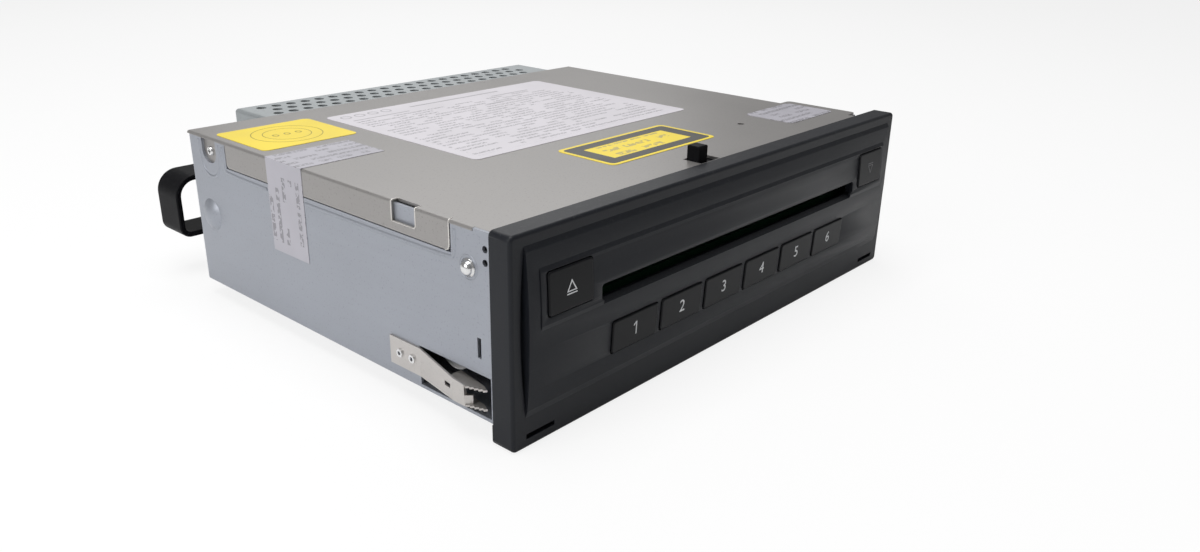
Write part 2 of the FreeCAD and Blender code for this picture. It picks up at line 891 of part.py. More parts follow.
def make_covers():
    lid = body("Lid")
    pad(lid, rectangle(sketch(lid, "XY_Plane", roof_under), (left, seat), (right, rear)), s.sheet)
    sides = sketch(lid, "XY_Plane", roof_under)
    rectangle(sides, (left, s.flange_front), (left + s.sheet, s.flange_rear))
    rectangle(sides, (right - s.sheet, s.flange_front), (right, s.flange_rear))
    pad(lid, sides, s.flange_high - s.sheet, back=True)
    ear = sketch(lid, "XY_Plane", roof_under)
    reach = right + s.ear_reach
    outline(ear, [(right - 1, s.ear_front), (reach, s.ear_front),
                  (reach, s.ear_rear), (right - 1, s.ear_rear)])
    pad(lid, ear, s.sheet)
    soften(lid, s.sheet * 0.9, lambda e: along(e, "y") and level(e, "z", roof) and level(e, "x", left))
    soften(lid, s.sheet * 2, lambda e: along(e, "z") and level(e, "x", reach))
    hem = roof - s.flange_high
    soften(lid, s.flange_corner, lambda e: along(e, "x") and level(e, "z", hem))
    notch = sketch(lid, "XY_Plane", roof)
    rectangle(notch, (left - 1, s.notch_front), (left + s.sheet + s.notch_in, s.notch_rear))
    pocket(lid, notch, s.notch_rise)
    step = sketch(lid, "XY_Plane", roof)
    rectangle(step, (left - 1, seat - 1), (left + s.sheet + s.fold_gap, s.lid_step))
    pocket(lid, step, s.sheet * 2)
    window = sketch(lid, "XY_Plane", roof)
    x = s.lock_window_left
    y = s.lock_window_front
    rectangle(window, (x, y), (x + s.lock_window, y + s.lock_window_deep))
    disc_outline(window, (s.peep_across, s.peep_back), s.peep_hole)
    pocket(lid, window, s.sheet * 2)
    tabs = []
    holes = []
    for x in (left + s.sheet, right - s.sheet * 2):
        tabs.append(box((x, corner_back - s.corner_tab / 2, roof_under - s.corner_slot_drop - 1),
                        (x + s.sheet, corner_back + s.corner_tab / 2, roof_under)))
        holes.append(rod((x - 1, corner_back, corner_level), s.screw_radius, s.sheet + 2, "x"))
    node("top_cover", cut(fuse(lid, *tabs), *holes))

    pan = body("Pan")
    inner = s.sheet + s.fold_gap
    sheet = sketch(pan, "XY_Plane", floor)
    pad(pan, rectangle(sheet, (left + inner, s.fold_gap), (right - inner, rear - inner)),
        s.sheet)
    node("bottom_cover", pan)


def make_vent_box():
    """Perforated box behind the chassis, open towards it."""
    vent = body("VentBox")
    low = roof - s.vent_height
    pad(vent, rectangle(sketch(vent, "XZ_Plane", -rear), (-s.vent_left, low), (s.vent_right, roof)),
        s.vent_depth, back=True)
    soften(vent, s.vent_round, lambda e: level(e, "y", rear + s.vent_depth)
           or (along(e, "y") and (level(e, "z", roof) or level(e, "z", low))))
    t = s.sheet
    hollow = sketch(vent, "XZ_Plane", -rear)
    rectangle(hollow, (-s.vent_left + t, low + t), (s.vent_right - t, roof - t))
    pocket(vent, hollow, s.vent_depth - t)
    first = sketch(vent, "XY_Plane", roof)
    for k in range(3):
        x = -s.vent_left + s.vent_edge + (s.vent_pitch / 2 if k == 1 else 0)
        disc_outline(first, (x, rear + s.vent_first + s.vent_row * k), s.vent_hole)
    slots = pocket(vent, first, t * 2)
    settle()
    run = vent.newObject("PartDesign::LinearPattern", "VentRow")
    run.Originals = [slots]
    run.Direction = (next(f for f in vent.Origin.OriginFeatures if f.Role == "X_Axis"), [""])
    count = int(s.vent_count.value)
    run.Occurrences = count
    bind(run, "Length", s.vent_pitch * (count - 1))
    vent.Tip = run
    back = sketch(vent, "XZ_Plane", -rear - s.vent_depth)
    z = roof_under - s.vent_height / 2
    room = s.socket_fit
    mid = s.socket_centre
    rectangle(back, (mid - s.socket_width / 2 - room, z - s.socket_height / 2 - room),
              (mid + s.socket_width / 2 + room, z + s.socket_height / 2 + room))
    pocket(vent, back, t * 2, back=True)
    node("rear_vent_box", vent)


def make_socket():
    """Rear multi-pole socket with short contacts at the bottom of its cavity."""
    z = roof_under - s.vent_height / 2
    mid = s.socket_centre
    outer = rear + s.vent_depth + s.socket_proud
    wide = s.socket_width / 2
    tall = s.socket_height / 2
    shell = box((mid - wide, outer - s.socket_deep, z - tall), (mid + wide, outer, z + tall))
    w = s.socket_wall
    hole = box((mid - wide + w, outer - s.socket_cavity, z - tall + w),
               (mid + wide - w, outer + 1, z + tall - w))
    neck = box((mid - wide, rear - s.sheet, z - tall), (mid + wide, outer - s.socket_deep, z + tall))
    contacts = []
    for row in (-0.5, 0.5):
        for k in range(8):
            x = mid + s.contact_pitch * (k - 3.5)
            level_z = z + s.contact_pitch * row
            half = s.contact_size / 2
            contacts.append(box((x - half, outer - s.socket_cavity - 0.5, level_z - half),
                                (x + half, outer - s.socket_cavity + s.contact_long, level_z + half)))
    node("rear_socket", fuse(cut(fuse(shell, neck), hole), *contacts))


def make_loop():
    """Moulded pull loop: a band bent to a ring behind the rear wall, carried by a foot."""
    loop = body("Loop")
    fore = rear + s.loop_gap
    tip = fore + s.loop_deep
    low = base + s.lip_drop / 2 + s.loop_low
    high = base + s.lip_drop / 2 + s.loop_high
    near = left + s.loop_inset
    far = near + s.loop_wide
    inner = near + s.loop_band
    inner_low = low + s.loop_band
    inner_high = high - s.loop_band
    pad(loop, rectangle(sketch(loop, "XZ_Plane", -tip), (near, low), (far, high)), s.loop_deep)
    window = rectangle(sketch(loop, "XZ_Plane", -fore), (inner, inner_low), (far - s.loop_foot, inner_high))
    pocket(loop, window, s.loop_deep * 2)
    soften(loop, s.loop_corner - s.loop_band,
           lambda e: along(e, "y") and level(e, "x", inner) and level(e, "z", inner_high))
    soften(loop, s.loop_corner_low - s.loop_band,
           lambda e: along(e, "y") and level(e, "x", inner) and level(e, "z", inner_low))
    soften(loop, s.loop_corner, lambda e: along(e, "y") and level(e, "x", near) and level(e, "z", high))
    soften(loop, s.loop_corner_low, lambda e: along(e, "y") and level(e, "x", near) and level(e, "z", low))
    soften(loop, s.loop_edge, lambda e: level(e, "y", fore) or level(e, "y", tip))
    foot = box((far - s.loop_foot + s.loop_edge * 2, rear, low + s.loop_edge * 2),
               (far - s.loop_edge * 2, fore + s.loop_foot, high - s.loop_edge * 2))
    node("pull_loop", fuse(loop, foot))


def make_clip_bracket():
    """Folded bracket that carries the right-hand spring clip level with the fascia's end."""
    t = s.sheet
    x = right + s.ear_reach
    gap = s.fold_gap
    back = s.clip_plate_rear + 1
    low_top = floor + s.clip_high + 4
    outer = box((x - t, s.ear_front, floor), (x, s.ear_rear, roof_under))
    lower = box((x - t, s.ear_front, floor), (x, back, low_top))
    fore = box((right + gap, s.ear_front, floor), (x, s.ear_front + t, roof_under))
    aft = box((right + gap, back - t, floor), (x, back, low_top))
    hole = box((right + 1, s.ear_front - 1, floor + s.window_low),
               (x + 2, s.window_rear, floor + s.window_high))
    node("right_clip_bracket", cut(fuse(outer, lower, fore, aft), hole))


# ---- spring clips ----

def clip_wall(side):
    """X of the surface that a clip lies on, and the sign that points outwards."""
    return (left, -1) if side == "left" else (right + s.ear_reach, 1)


def make_clip_plate(side):
    wall, out = clip_wall(side)
    low_x, high_x = (wall - s.leaf, wall) if out < 0 else (wall, wall + s.leaf)
    plate = box((low_x, s.clip_bend, s.clip_low + floor), (high_x, s.clip_plate_rear, s.clip_high + floor))
    holes = []
    for k in range(2):
        y = s.rivet_first + s.rivet_pitch * k
        z = floor + (s.clip_low + s.clip_high) / 2
        holes.append(rod((low_x - 1, y, z), s.rivet_radius, s.leaf + 2, "x"))
    return cut(plate, *holes)


def make_rivets(side):
    wall, out = clip_wall(side)
    rivets = []
    for k in range(2):
        y = s.rivet_first + s.rivet_pitch * k
        z = floor + (s.clip_low + s.clip_high) / 2
        start = wall - s.leaf - s.rivet_rise if out < 0 else wall
        barrel = rod((start, y, z), s.rivet_radius, s.leaf + s.rivet_rise, "x")
        eye = rod((start - 1, y, z), s.rivet_radius * 0.5, s.leaf + s.rivet_rise + 2, "x")
        rivets.append(cut(barrel, eye))
    return rivets


def clip_wing(out, bow, height):
    """Flange bent inwards from the web, toothed along the edge that points forwards."""
    wing = body("Wing")
    tip = s.clip_tip
    flat = tip + s.clip_flat
    middle = bow - out * s.leaf / 2
    teeth = int(s.wing_teeth.value)
    along_y = s.wing_reach / teeth
    along_x = s.wing_lean / teeth
    edge = [(middle, flat)]
    for k in range(teeth):
        edge.append((middle - out * along_x * k, tip - along_y * k))
        edge.append((middle - out * (along_x * (k + 0.5) - s.tooth_deep), tip - along_y * (k + 0.5)))
    lean = middle - out * s.wing_lean
    bend = middle - out * s.clip_bow * s.wing_behind / (s.clip_bend - flat)
    edge += [(lean, tip - s.wing_reach), (lean, flat + s.wing_behind), (bend, flat + s.wing_behind)]
    pad(wing, outline(sketch(wing, "XY_Plane", height), edge), s.leaf)
    return wing


def make_clip_arm(side):
    """Leaf that bows out from the bend, with a lip and two toothed wings at its tip."""
    wall, out = clip_wall(side)
    low = s.clip_low + floor
    high = s.clip_high + floor
    arm = body("ClipArm")
    bow = wall + out * (s.clip_bow + s.leaf)
    thick = out * s.leaf
    tip = s.clip_tip
    flat = tip + s.clip_flat
    inner = bow - thick
    hook = bow - out * s.clip_hook
    plan = [(wall, s.clip_bend), (wall + thick, s.clip_bend), (bow, flat), (bow, tip),
            (hook, tip - s.clip_hook), (hook - thick, tip - s.clip_hook + s.leaf / 2),
            (inner, tip + s.leaf / 2), (inner, flat)]
    pad(arm, outline(sketch(arm, "XY_Plane", low), plan), high - low)
    side_view = body("ClipSide")
    end = tip - s.clip_hook - s.leaf
    crest = high - s.clip_drop
    lip_top = low + s.clip_lip
    shape = [(s.clip_bend, low), (s.clip_bend, high), (tip, crest),
             (tip, lip_top), (end, lip_top), (end, low)]
    reach = s.clip_bow * 4
    pad(side_view, outline(sketch(side_view, "YZ_Plane", wall - reach), shape), reach * 2)
    middle = (low + high - s.clip_drop / 2) / 2
    slot = box((wall - reach, flat + s.clip_slot / 2, middle - s.clip_slot / 4),
               (wall + reach, flat + s.clip_slot * 1.5, middle + s.clip_slot / 4))
    leaf = cut(common(arm, side_view), slot)
    upper = clip_wing(out, bow, crest - s.leaf)
    lower = clip_wing(out, bow, low)
    node(side + "_clip_arm", fuse(leaf, upper, lower))


# ---- small hardware on the box ----

def make_hardware():
    small = s.pin_radius * 0.55
    right_wall = right + s.ear_reach
    left_head = cone((left - s.pin_rise, s.pin_back, s.pin_level), small, s.pin_radius, s.pin_rise, "x")
    shank = rod((left, s.pin_back, s.pin_level), s.pin_shank - s.running, s.sheet, "x")
    right_head = cone((right_wall, s.pin_back, s.pin_level), s.pin_radius, small, s.pin_rise, "x")
    node("side_pins", group(fuse(left_head, shank), right_head))

    screws = []
    for x, z in post_places:
        head = rod((x, -s.board_gap, z), s.screw_head, s.screw_head_thick, "y")
        shank = rod((x, board_front, z), s.screw_radius - s.running, s.board_thick + s.running, "y")
        screws.append(fuse(head, shank))
    thin = s.screw_radius - s.running
    thick = s.screw_head_thick
    left_face = left + s.sheet
    right_face = right - s.sheet
    screws.append(fuse(rod((left_face - thick, corner_back, corner_level), s.screw_head, thick, "x"),
                       rod((left_face - thick, corner_back, corner_level), thin, thick + s.sheet * 2, "x")))
    screws.append(fuse(rod((right_face, corner_back, corner_level), s.screw_head, thick, "x"),
                       rod((right_face - s.sheet * 2, corner_back, corner_level), thin,
                           s.sheet * 2 + thick, "x")))
    node("small_screws", group(*screws))


def make_lock():
    """Square lock peg on a sliding plate under the lid's window."""
    x = s.lock_window_left + s.running * 4
    y = s.lock_window_front + s.running * 4
    peg = box((x, y + 1, roof_under - 0.3), (x + s.lock_size, y + 1 + s.lock_size, roof + s.lock_rise))
    top = roof_under - s.running * 4
    plate_left = x - s.lock_side
    plate = box((plate_left, y - 1, top - s.lock_plate_thick),
                (plate_left + s.lock_plate, y + 2 + s.lock_size, top))
    peg = rounded(peg, s.key_round, lambda e: e.BoundBox.ZMin > roof.value)
    neck = box((x, y + 1, top - s.lock_plate_thick), (x + s.lock_size, y + 1 + s.lock_size, roof_under))
    node("lock_slider", fuse(peg, plate, neck))


def make_label(label, middle, size):
    """A thin sticker on the lid with rounded corners."""
    low = (middle[0] - size[0] / 2, middle[1] - size[1] / 2)
    high = (middle[0] + size[0] / 2, middle[1] + size[1] / 2)
    paper = body("Paper")
    pad(paper, rectangle(sketch(paper, "XY_Plane", roof), low, high), s.paper)
    soften(paper, s.paper_corner, lambda e: along(e, "z"))
    node(label, paper)


def make_seal():
    """A seal that wraps from the lid down over the side wall."""
    over = box((left - s.paper, s.seal_front, roof), (left + s.seal_over, s.seal_rear, roof + s.paper))
    down = box((left - s.paper, s.seal_front, base + s.seal_low), (left, s.seal_rear, roof))
    node("seal_label", fuse(over, down))


def make_labels():
    make_label("white_label", (s.white_across, s.white_back), (s.white_width, s.white_length))
    make_label("caution_label", (s.caution_across, s.caution_back), (s.caution_width, s.caution_length))
    stamp_across = left + s.stamp_side + s.stamp_width / 2
    pale_across = right - s.pale_side - s.pale_width / 2
    make_label("stamp_label", (stamp_across, s.stamp_back), (s.stamp_width, s.stamp_length))
    make_label("pale_label", (pale_across, s.pale_back), (s.pale_width, s.pale_length))
    make_seal()


# ---- front plate, shutter and disc feed ----

tray_top = slot_level - s.disc_gap
cam_right = s.tray_half + s.frame_thick + s.cam_gap
cam_left = -cam_right - s.cam_thick
cheek = s.cheek_gap - cam_left
feed_left = -cheek
roller_level = slot_level - s.roller_gap - s.roller_radius
idler_level = roller_level - s.feed_module * (s.roller_teeth + s.idler_teeth) / 2
motor_back = s.roller_back + s.feed_module * (s.idler_teeth + s.pinion_teeth) / 2
gear_face = feed_left - s.sheet - s.gear_gap - s.gear_wide
motor_face = gear_face - s.gear_gap - s.sheet
motor_long = motor_face - left - s.sheet - s.motor_room


def make_front_plate():
    """Folded sheet behind the fascia with cheeks for the feed roller and a plate for its gears."""
    t = s.sheet
    y = s.plate_front
    wall = box((left + s.plate_side, y, floor_top + s.plate_low),
               (right - s.sheet - s.fold_gap, y + t, roof_under - s.plate_high))
    window = box((-slot_half - s.window_side, y - 1, slot_level - s.feed_window / 2),
                 (slot_half + s.window_side, y + 2, slot_level + s.feed_window / 2))
    cheeks = []
    for x in (feed_left - t, -feed_left):
        cheeks.append(box((x, y, floor_top + s.cheek_low), (x + t, s.cheek_deep, slot_level)))
    gear_plate = box((motor_face, y, floor_top + s.cheek_low), (motor_face + t, s.cheek_deep, slot_level))
    bore = s.shaft_radius + s.running
    drill = rod((-cheek - t * 2, s.roller_back, roller_level), bore, cheek * 2 + t * 4, "x")
    shaft_hole = rod((motor_face - 1, motor_back, idler_level), s.motor_shaft * 2.5, t + 2, "x")
    axle_long = s.gear_gap * 2 + s.gear_wide + t
    axle = rod((motor_face, s.roller_back, idler_level), s.shaft_radius, axle_long, "x")
    lugs = []
    for x in (-slot_half - s.rail_wide * 2, slot_half + s.rail_wide):
        lugs.append(box((x, y - s.shutter_thick - s.shutter_gap * 2, slot_level - s.shutter_height),
                        (x + s.rail_wide, y, slot_level + s.shutter_height * 2)))
    feet = []
    for x in (-s.plate_foot, s.plate_foot):
        feet.append(box((x - s.foot_half, y, floor_top), (x + s.foot_half, y + t, floor_top + s.foot_rise)))
    shelf_top = roof_under - s.lock_plate_thick - s.running * 8
    shelf_left = s.lock_window_left - s.shelf_side
    shelf_right = shelf_left + s.lock_plate + s.lock_travel + s.lock_side
    shelf = [box((shelf_left, y, shelf_top - t), (shelf_right, y + s.shelf_deep, shelf_top)),
             box((shelf_left, y, roof_under - s.plate_high - 1), (shelf_right, y + t, shelf_top))]
    solid = cut(fuse(wall, gear_plate, *cheeks, *lugs, *feet, *shelf), window, drill, shaft_hole)
    node("front_plate", fuse(solid, axle))


def make_shutter():
    y = s.plate_front - s.shutter_gap - s.shutter_thick
    z = slot_level + s.feed_window / 2 - s.shutter_lap
    half = slot_half + s.rail_wide - s.shutter_gap
    node("slot_shutter", box((-half, y, z), (half, y + s.shutter_thick, z + s.shutter_height)))


def make_feed():
    length = cheek + s.sheet + s.gear_gap + s.gear_wide
    reach = length + cheek + s.sheet + s.shaft_end
    shaft = rod((-length, s.roller_back, roller_level), s.shaft_radius, reach, "x")
    node("roller_shaft", shaft)
    sleeves = []
    for side in (-1, 1):
        start = s.sleeve_start if side > 0 else -s.sleeve_start - s.sleeve_long
        wide = s.roller_radius
        slim = s.roller_radius - s.roller_waist
        first, last = (slim, wide) if side > 0 else (wide, slim)
        sleeve = cone((start, s.roller_back, roller_level), first, last, s.sleeve_long, "x")
        bore = rod((start - 1, s.roller_back, roller_level), s.shaft_radius, s.sleeve_long + 2, "x")
        sleeves.append(cut(sleeve, bore))
    node("roller_sleeves", group(*sleeves))
    y = s.plate_front + s.sheet
    z = slot_level + s.roller_gap
    half = slot_half + s.guide_side
    top = z + s.feed_window / 2
    back = y + s.guide_deep
    guide = box((-half, y, top), (half, back, top + s.guide_thick))
    lip = box((-half, back - s.lip_back, z), (half, back - s.lip_back + s.guide_thick, top))
    node("upper_disc_guide", fuse(guide, lip))
    motor = rod((motor_face - motor_long, motor_back, idler_level), s.motor_radius, motor_long, "x")
    node("loading_motor", motor)


# ---- toothed pieces ----

def involute(base_radius, radius):
    angle = math.acos(min(1.0, base_radius / radius))
    return math.tan(angle) - angle


def gear_blank(teeth, module, thick, bore, tooth_share=0.44, phase=0.0):
    """Spur gear about +X, its first tooth towards +Z turned on by phase."""
    pitch = module * teeth / 2
    tip = pitch + module * 0.9
    root = pitch - module * 1.15
    pressure = math.radians(20)
    base_radius = pitch * math.cos(pressure)
    half = math.pi * tooth_share / teeth
    points = []
    for k in range(teeth):
        centre = phase + 2 * math.pi * k / teeth
        flank = []
        start = max(base_radius, root)
        for step in range(5):
            radius = start + (tip - start) * step / 4
            spread = half + involute(base_radius, pitch) - involute(base_radius, radius)
            flank.append((radius, spread))
        if root < start:
            flank.insert(0, (root, flank[0][1]))
        turns = [(r, centre - a) for r, a in flank] + [(r, centre + a) for r, a in reversed(flank)]
        points += [FreeCAD.Vector(0, r * math.sin(a), r * math.cos(a)) for r, a in turns]
    face = Part.Face(Part.makePolygon(points + points[:1]))
    blank = face.extrude(FreeCAD.Vector(thick, 0, 0))
    hole = Part.makeCylinder(bore, thick + 2, FreeCAD.Vector(-1, 0, 0), FreeCAD.Vector(1, 0, 0))
    return blank.cut(hole)


def shaped(label, shape, place):
    """A sub-part whose shape comes from Part's functions."""
    thing = doc.addObject("Part::Feature", "Shaped")
    thing.Shape = shape
    x, y, z = place
    thing.Placement = FreeCAD.Placement(FreeCAD.Vector(x.value, y.value, z.value), FreeCAD.Rotation())
    for letter, size in zip("xyz", place):
        bind(thing, "Placement.Base." + letter, size)
    return node(label, thing)


def make_gears():
    module = s.feed_module.value
    thick = s.gear_wide.value
    count = int(s.roller_teeth.value)
    gear = gear_blank(count, module, thick, s.shaft_radius.value)
    x = gear_face
    shaped("roller_gear", gear, (x, s.roller_back, roller_level))
    teeth = int(s.idler_teeth.value)
    bore = (s.shaft_radius + s.running).value
    below = math.pi / teeth * (1 if count % 2 == 0 else 0)
    idler = gear_blank(teeth, module, thick, bore, phase=below)
    shaped("idler_gear", idler, (x, s.roller_back, idler_level))
    small = int(s.pinion_teeth.value)
    # the idler's tooth or gap that faces the pinion, towards +Y
    quarter = (math.pi / 2 - below) / (2 * math.pi / teeth)
    off = (quarter - round(quarter)) * 2 * math.pi / teeth
    turn = -math.pi / 2 + math.pi / small + off * teeth / small
    pinion = gear_blank(small, module, thick, 0.01, phase=turn)
    axle = Part.makeCylinder(s.motor_shaft.value, thick + s.gear_gap.value + s.sheet.value - 0.1,
                             FreeCAD.Vector(thick, 0, 0), FreeCAD.Vector(-1, 0, 0))
    shaped("motor_pinion", pinion.fuse(axle).removeSplitter(), (x, motor_back, idler_level))


# ---- stack, lift and cams ----

def make_trays():
    for k in range(6):
        z = tray_top - s.tray_thick - s.tray_pitch * k
        tray = body("Tray")
        half = s.tray_half
        y0 = s.tray_front
        y1 = s.tray_rear
        mouth = s.tray_mouth
        end = s.disc_centre
        shape = [(-half, y0), (-mouth, y0), (-mouth, end), (mouth, end), (mouth, y0), (half, y0),
                 (half, y1), (-half, y1)]
        pad(tray, outline(sketch(tray, "XY_Plane", z), shape, {2: (mouth * 1.0001, -1)}), s.tray_thick)
        soften(tray, s.wall_round * 2,
               lambda e: along(e, "z") and (level(e, "x", half) or level(e, "x", -half)))
        node("disc_tray_%d" % (k + 1), tray)


def make_lift_frame():
    """Two cheeks and a rear bar that hold the trays' edges, with cam followers."""
    low = tray_top - s.tray_thick - s.tray_pitch * 5 - s.frame_drop
    high = tray_top + s.disc_gap
    t = s.frame_thick
    parts = []
    for side in (-1, 1):
        x = side * s.tray_half - (t if side < 0 else 0)
        parts.append(box((x, s.frame_front, low), (x + t, s.tray_rear, high)))
        start = cam_left - 0.2 if side < 0 else s.tray_half + t / 2
        for k in range(2):
            y = s.follower_first + s.follower_pitch * k
            reach = t / 2 + s.cam_gap + s.cam_thick + 0.2
            parts.append(rod((start, y, s.follower_level), s.follower_radius, reach, "x"))
    span = box((-s.tray_half - t, s.tray_rear, low), (s.tray_half + t, s.tray_rear + t / 2, high))
    node("lift_frame", fuse(*parts, span))


def cam_plate(x):
    """Sliding plate with two sloped slots for the followers."""
    top = Size.of(s.rack_level) - s.rack_module
    plate = body("CamPlate")
    rim = [(s.cam_front, s.cam_low), (s.cam_rear, s.cam_low), (s.cam_rear, top), (s.cam_front, top)]
    pad(plate, outline(sketch(plate, "YZ_Plane", x), rim), s.cam_thick)
    slots = sketch(plate, "YZ_Plane", x + s.cam_thick)
    gap = s.follower_radius + s.follower_clear
    lean = (s.lift_ratio * s.lift_ratio + 1).root()
    dy = gap / lean
    dz = gap * s.lift_ratio / lean
    bend = gap * 1.0001
    for k in range(2):
        y = s.follower_first + s.follower_pitch * k
        z = s.follower_level
        low_y = y + s.lift_ratio * s.lift_low
        low_z = z - s.lift_low
        high_y = y - s.lift_ratio * s.lift_high
        high_z = z + s.lift_high
        ring = [(high_y - dy, high_z - dz), (low_y - dy, low_z - dz), (low_y + dy, low_z + dz),
                (high_y + dy, high_z + dz)]
        outline(slots, ring, {1: (bend, 1), 3: (bend, 1)})
    pocket(plate, slots, s.cam_thick + 1)
    return plate


def rack_teeth(x):
    """Straight teeth along the top edge, one gap centred on the lift gear."""
    module = s.rack_module.value
    pitch = math.pi * module
    thick = s.cam_thick.value
    slope = math.tan(math.radians(20))
    low = -module * 1.05
    high = module * 0.9
    centre = s.lift_gear_back.value
    half = pitch * 0.44 / 2
    teeth = []
    first = -int(s.lift_high.value * s.lift_ratio.value / pitch) - 4
    last = int(s.lift_low.value * s.lift_ratio.value / pitch) + 4
    for k in range(first, last):
        y = centre + pitch * (k + 0.5)
        corners = [(y - half + slope * low, low), (y + half - slope * low, low),
                   (y + half - slope * high, high), (y - half + slope * high, high)]
        ring = [FreeCAD.Vector(0, a, b) for a, b in corners]
        teeth.append(Part.Face(Part.makePolygon(ring + ring[:1])).extrude(FreeCAD.Vector(thick, 0, 0)))
    rack = doc.addObject("Part::Feature", "RackTeeth")
    rack.Shape = Part.makeCompound(teeth)
    for letter, size in zip("xyz", (x, 0, s.rack_level)):
        bind(rack, "Placement.Base." + letter, size)
    return rack


def make_cams():
    teeth = rack_teeth(cam_left)
    node("left_cam_slide", fuse(cam_plate(cam_left), teeth))
    node("right_cam_slide", cam_plate(cam_right))
    rails = []
    for x in (cam_left, cam_right):
        gap = s.rail_gap
        low = s.cam_front - s.lift_ratio * s.lift_low - 1
        block = box((x - s.rail_wall, low, floor_top),
                    (x + s.cam_thick + s.rail_wall, rear - s.rail_end, floor_top + s.rail_tall))
        groove = box((x - gap, low - 1, s.cam_low - gap), (x + s.cam_thick + gap, s.chassis_depth,
                     floor_top + s.rail_tall + 1))
        rails.append(cut(block, groove))
    node("slide_rails", group(*rails))
    module = s.rack_module.value
    count = int(s.lift_teeth.value)
    # a tooth of the gear points straight down into the rack's gap
    turn = 0.0 if count % 2 == 0 else math.pi / count
    gear = gear_blank(count, module, s.lift_gear_wide.value, 0.01, phase=turn)
    axle = Part.makeCylinder(s.motor_shaft.value, s.lift_gear_wide.value + s.gear_gap.value + 0.5,
                             FreeCAD.Vector(s.lift_gear_wide.value, 0, 0), FreeCAD.Vector(-1, 0, 0))
    x = cam_left + s.cam_thick / 2 - s.lift_gear_wide / 2
    z = s.rack_level + s.rack_module * s.lift_teeth / 2
    shaped("lift_gear", gear.fuse(axle).removeSplitter(), (x, s.lift_gear_back, z))
    t = s.bracket_thick
    face = x - s.gear_gap - t
    fore = s.lift_gear_back - s.bracket_half
    aft = s.lift_gear_back + s.bracket_half
    top = roof_under - s.bracket_gap
    plate = box((face, fore, z - s.bracket_half), (face + t, aft, top))
    ear = box((left + s.sheet * 2, fore, top - t), (face + t, aft, top))
    hole = rod((face - 1, s.lift_gear_back, z), s.motor_shaft * 2, t + 2, "x")
    can_end = left + s.sheet + s.lift_motor_room
    can = rod((can_end, s.lift_gear_back, z), s.lift_motor_radius, face - can_end, "x")
    well = rod((face - t * 2, s.lift_gear_back, z), s.motor_shaft * 2, t * 3, "x")
    node("lift_motor", fuse(cut(fuse(plate, ear), hole), cut(can, well)))


# ---- player ----

deck_top = s.deck_level + s.deck_thick


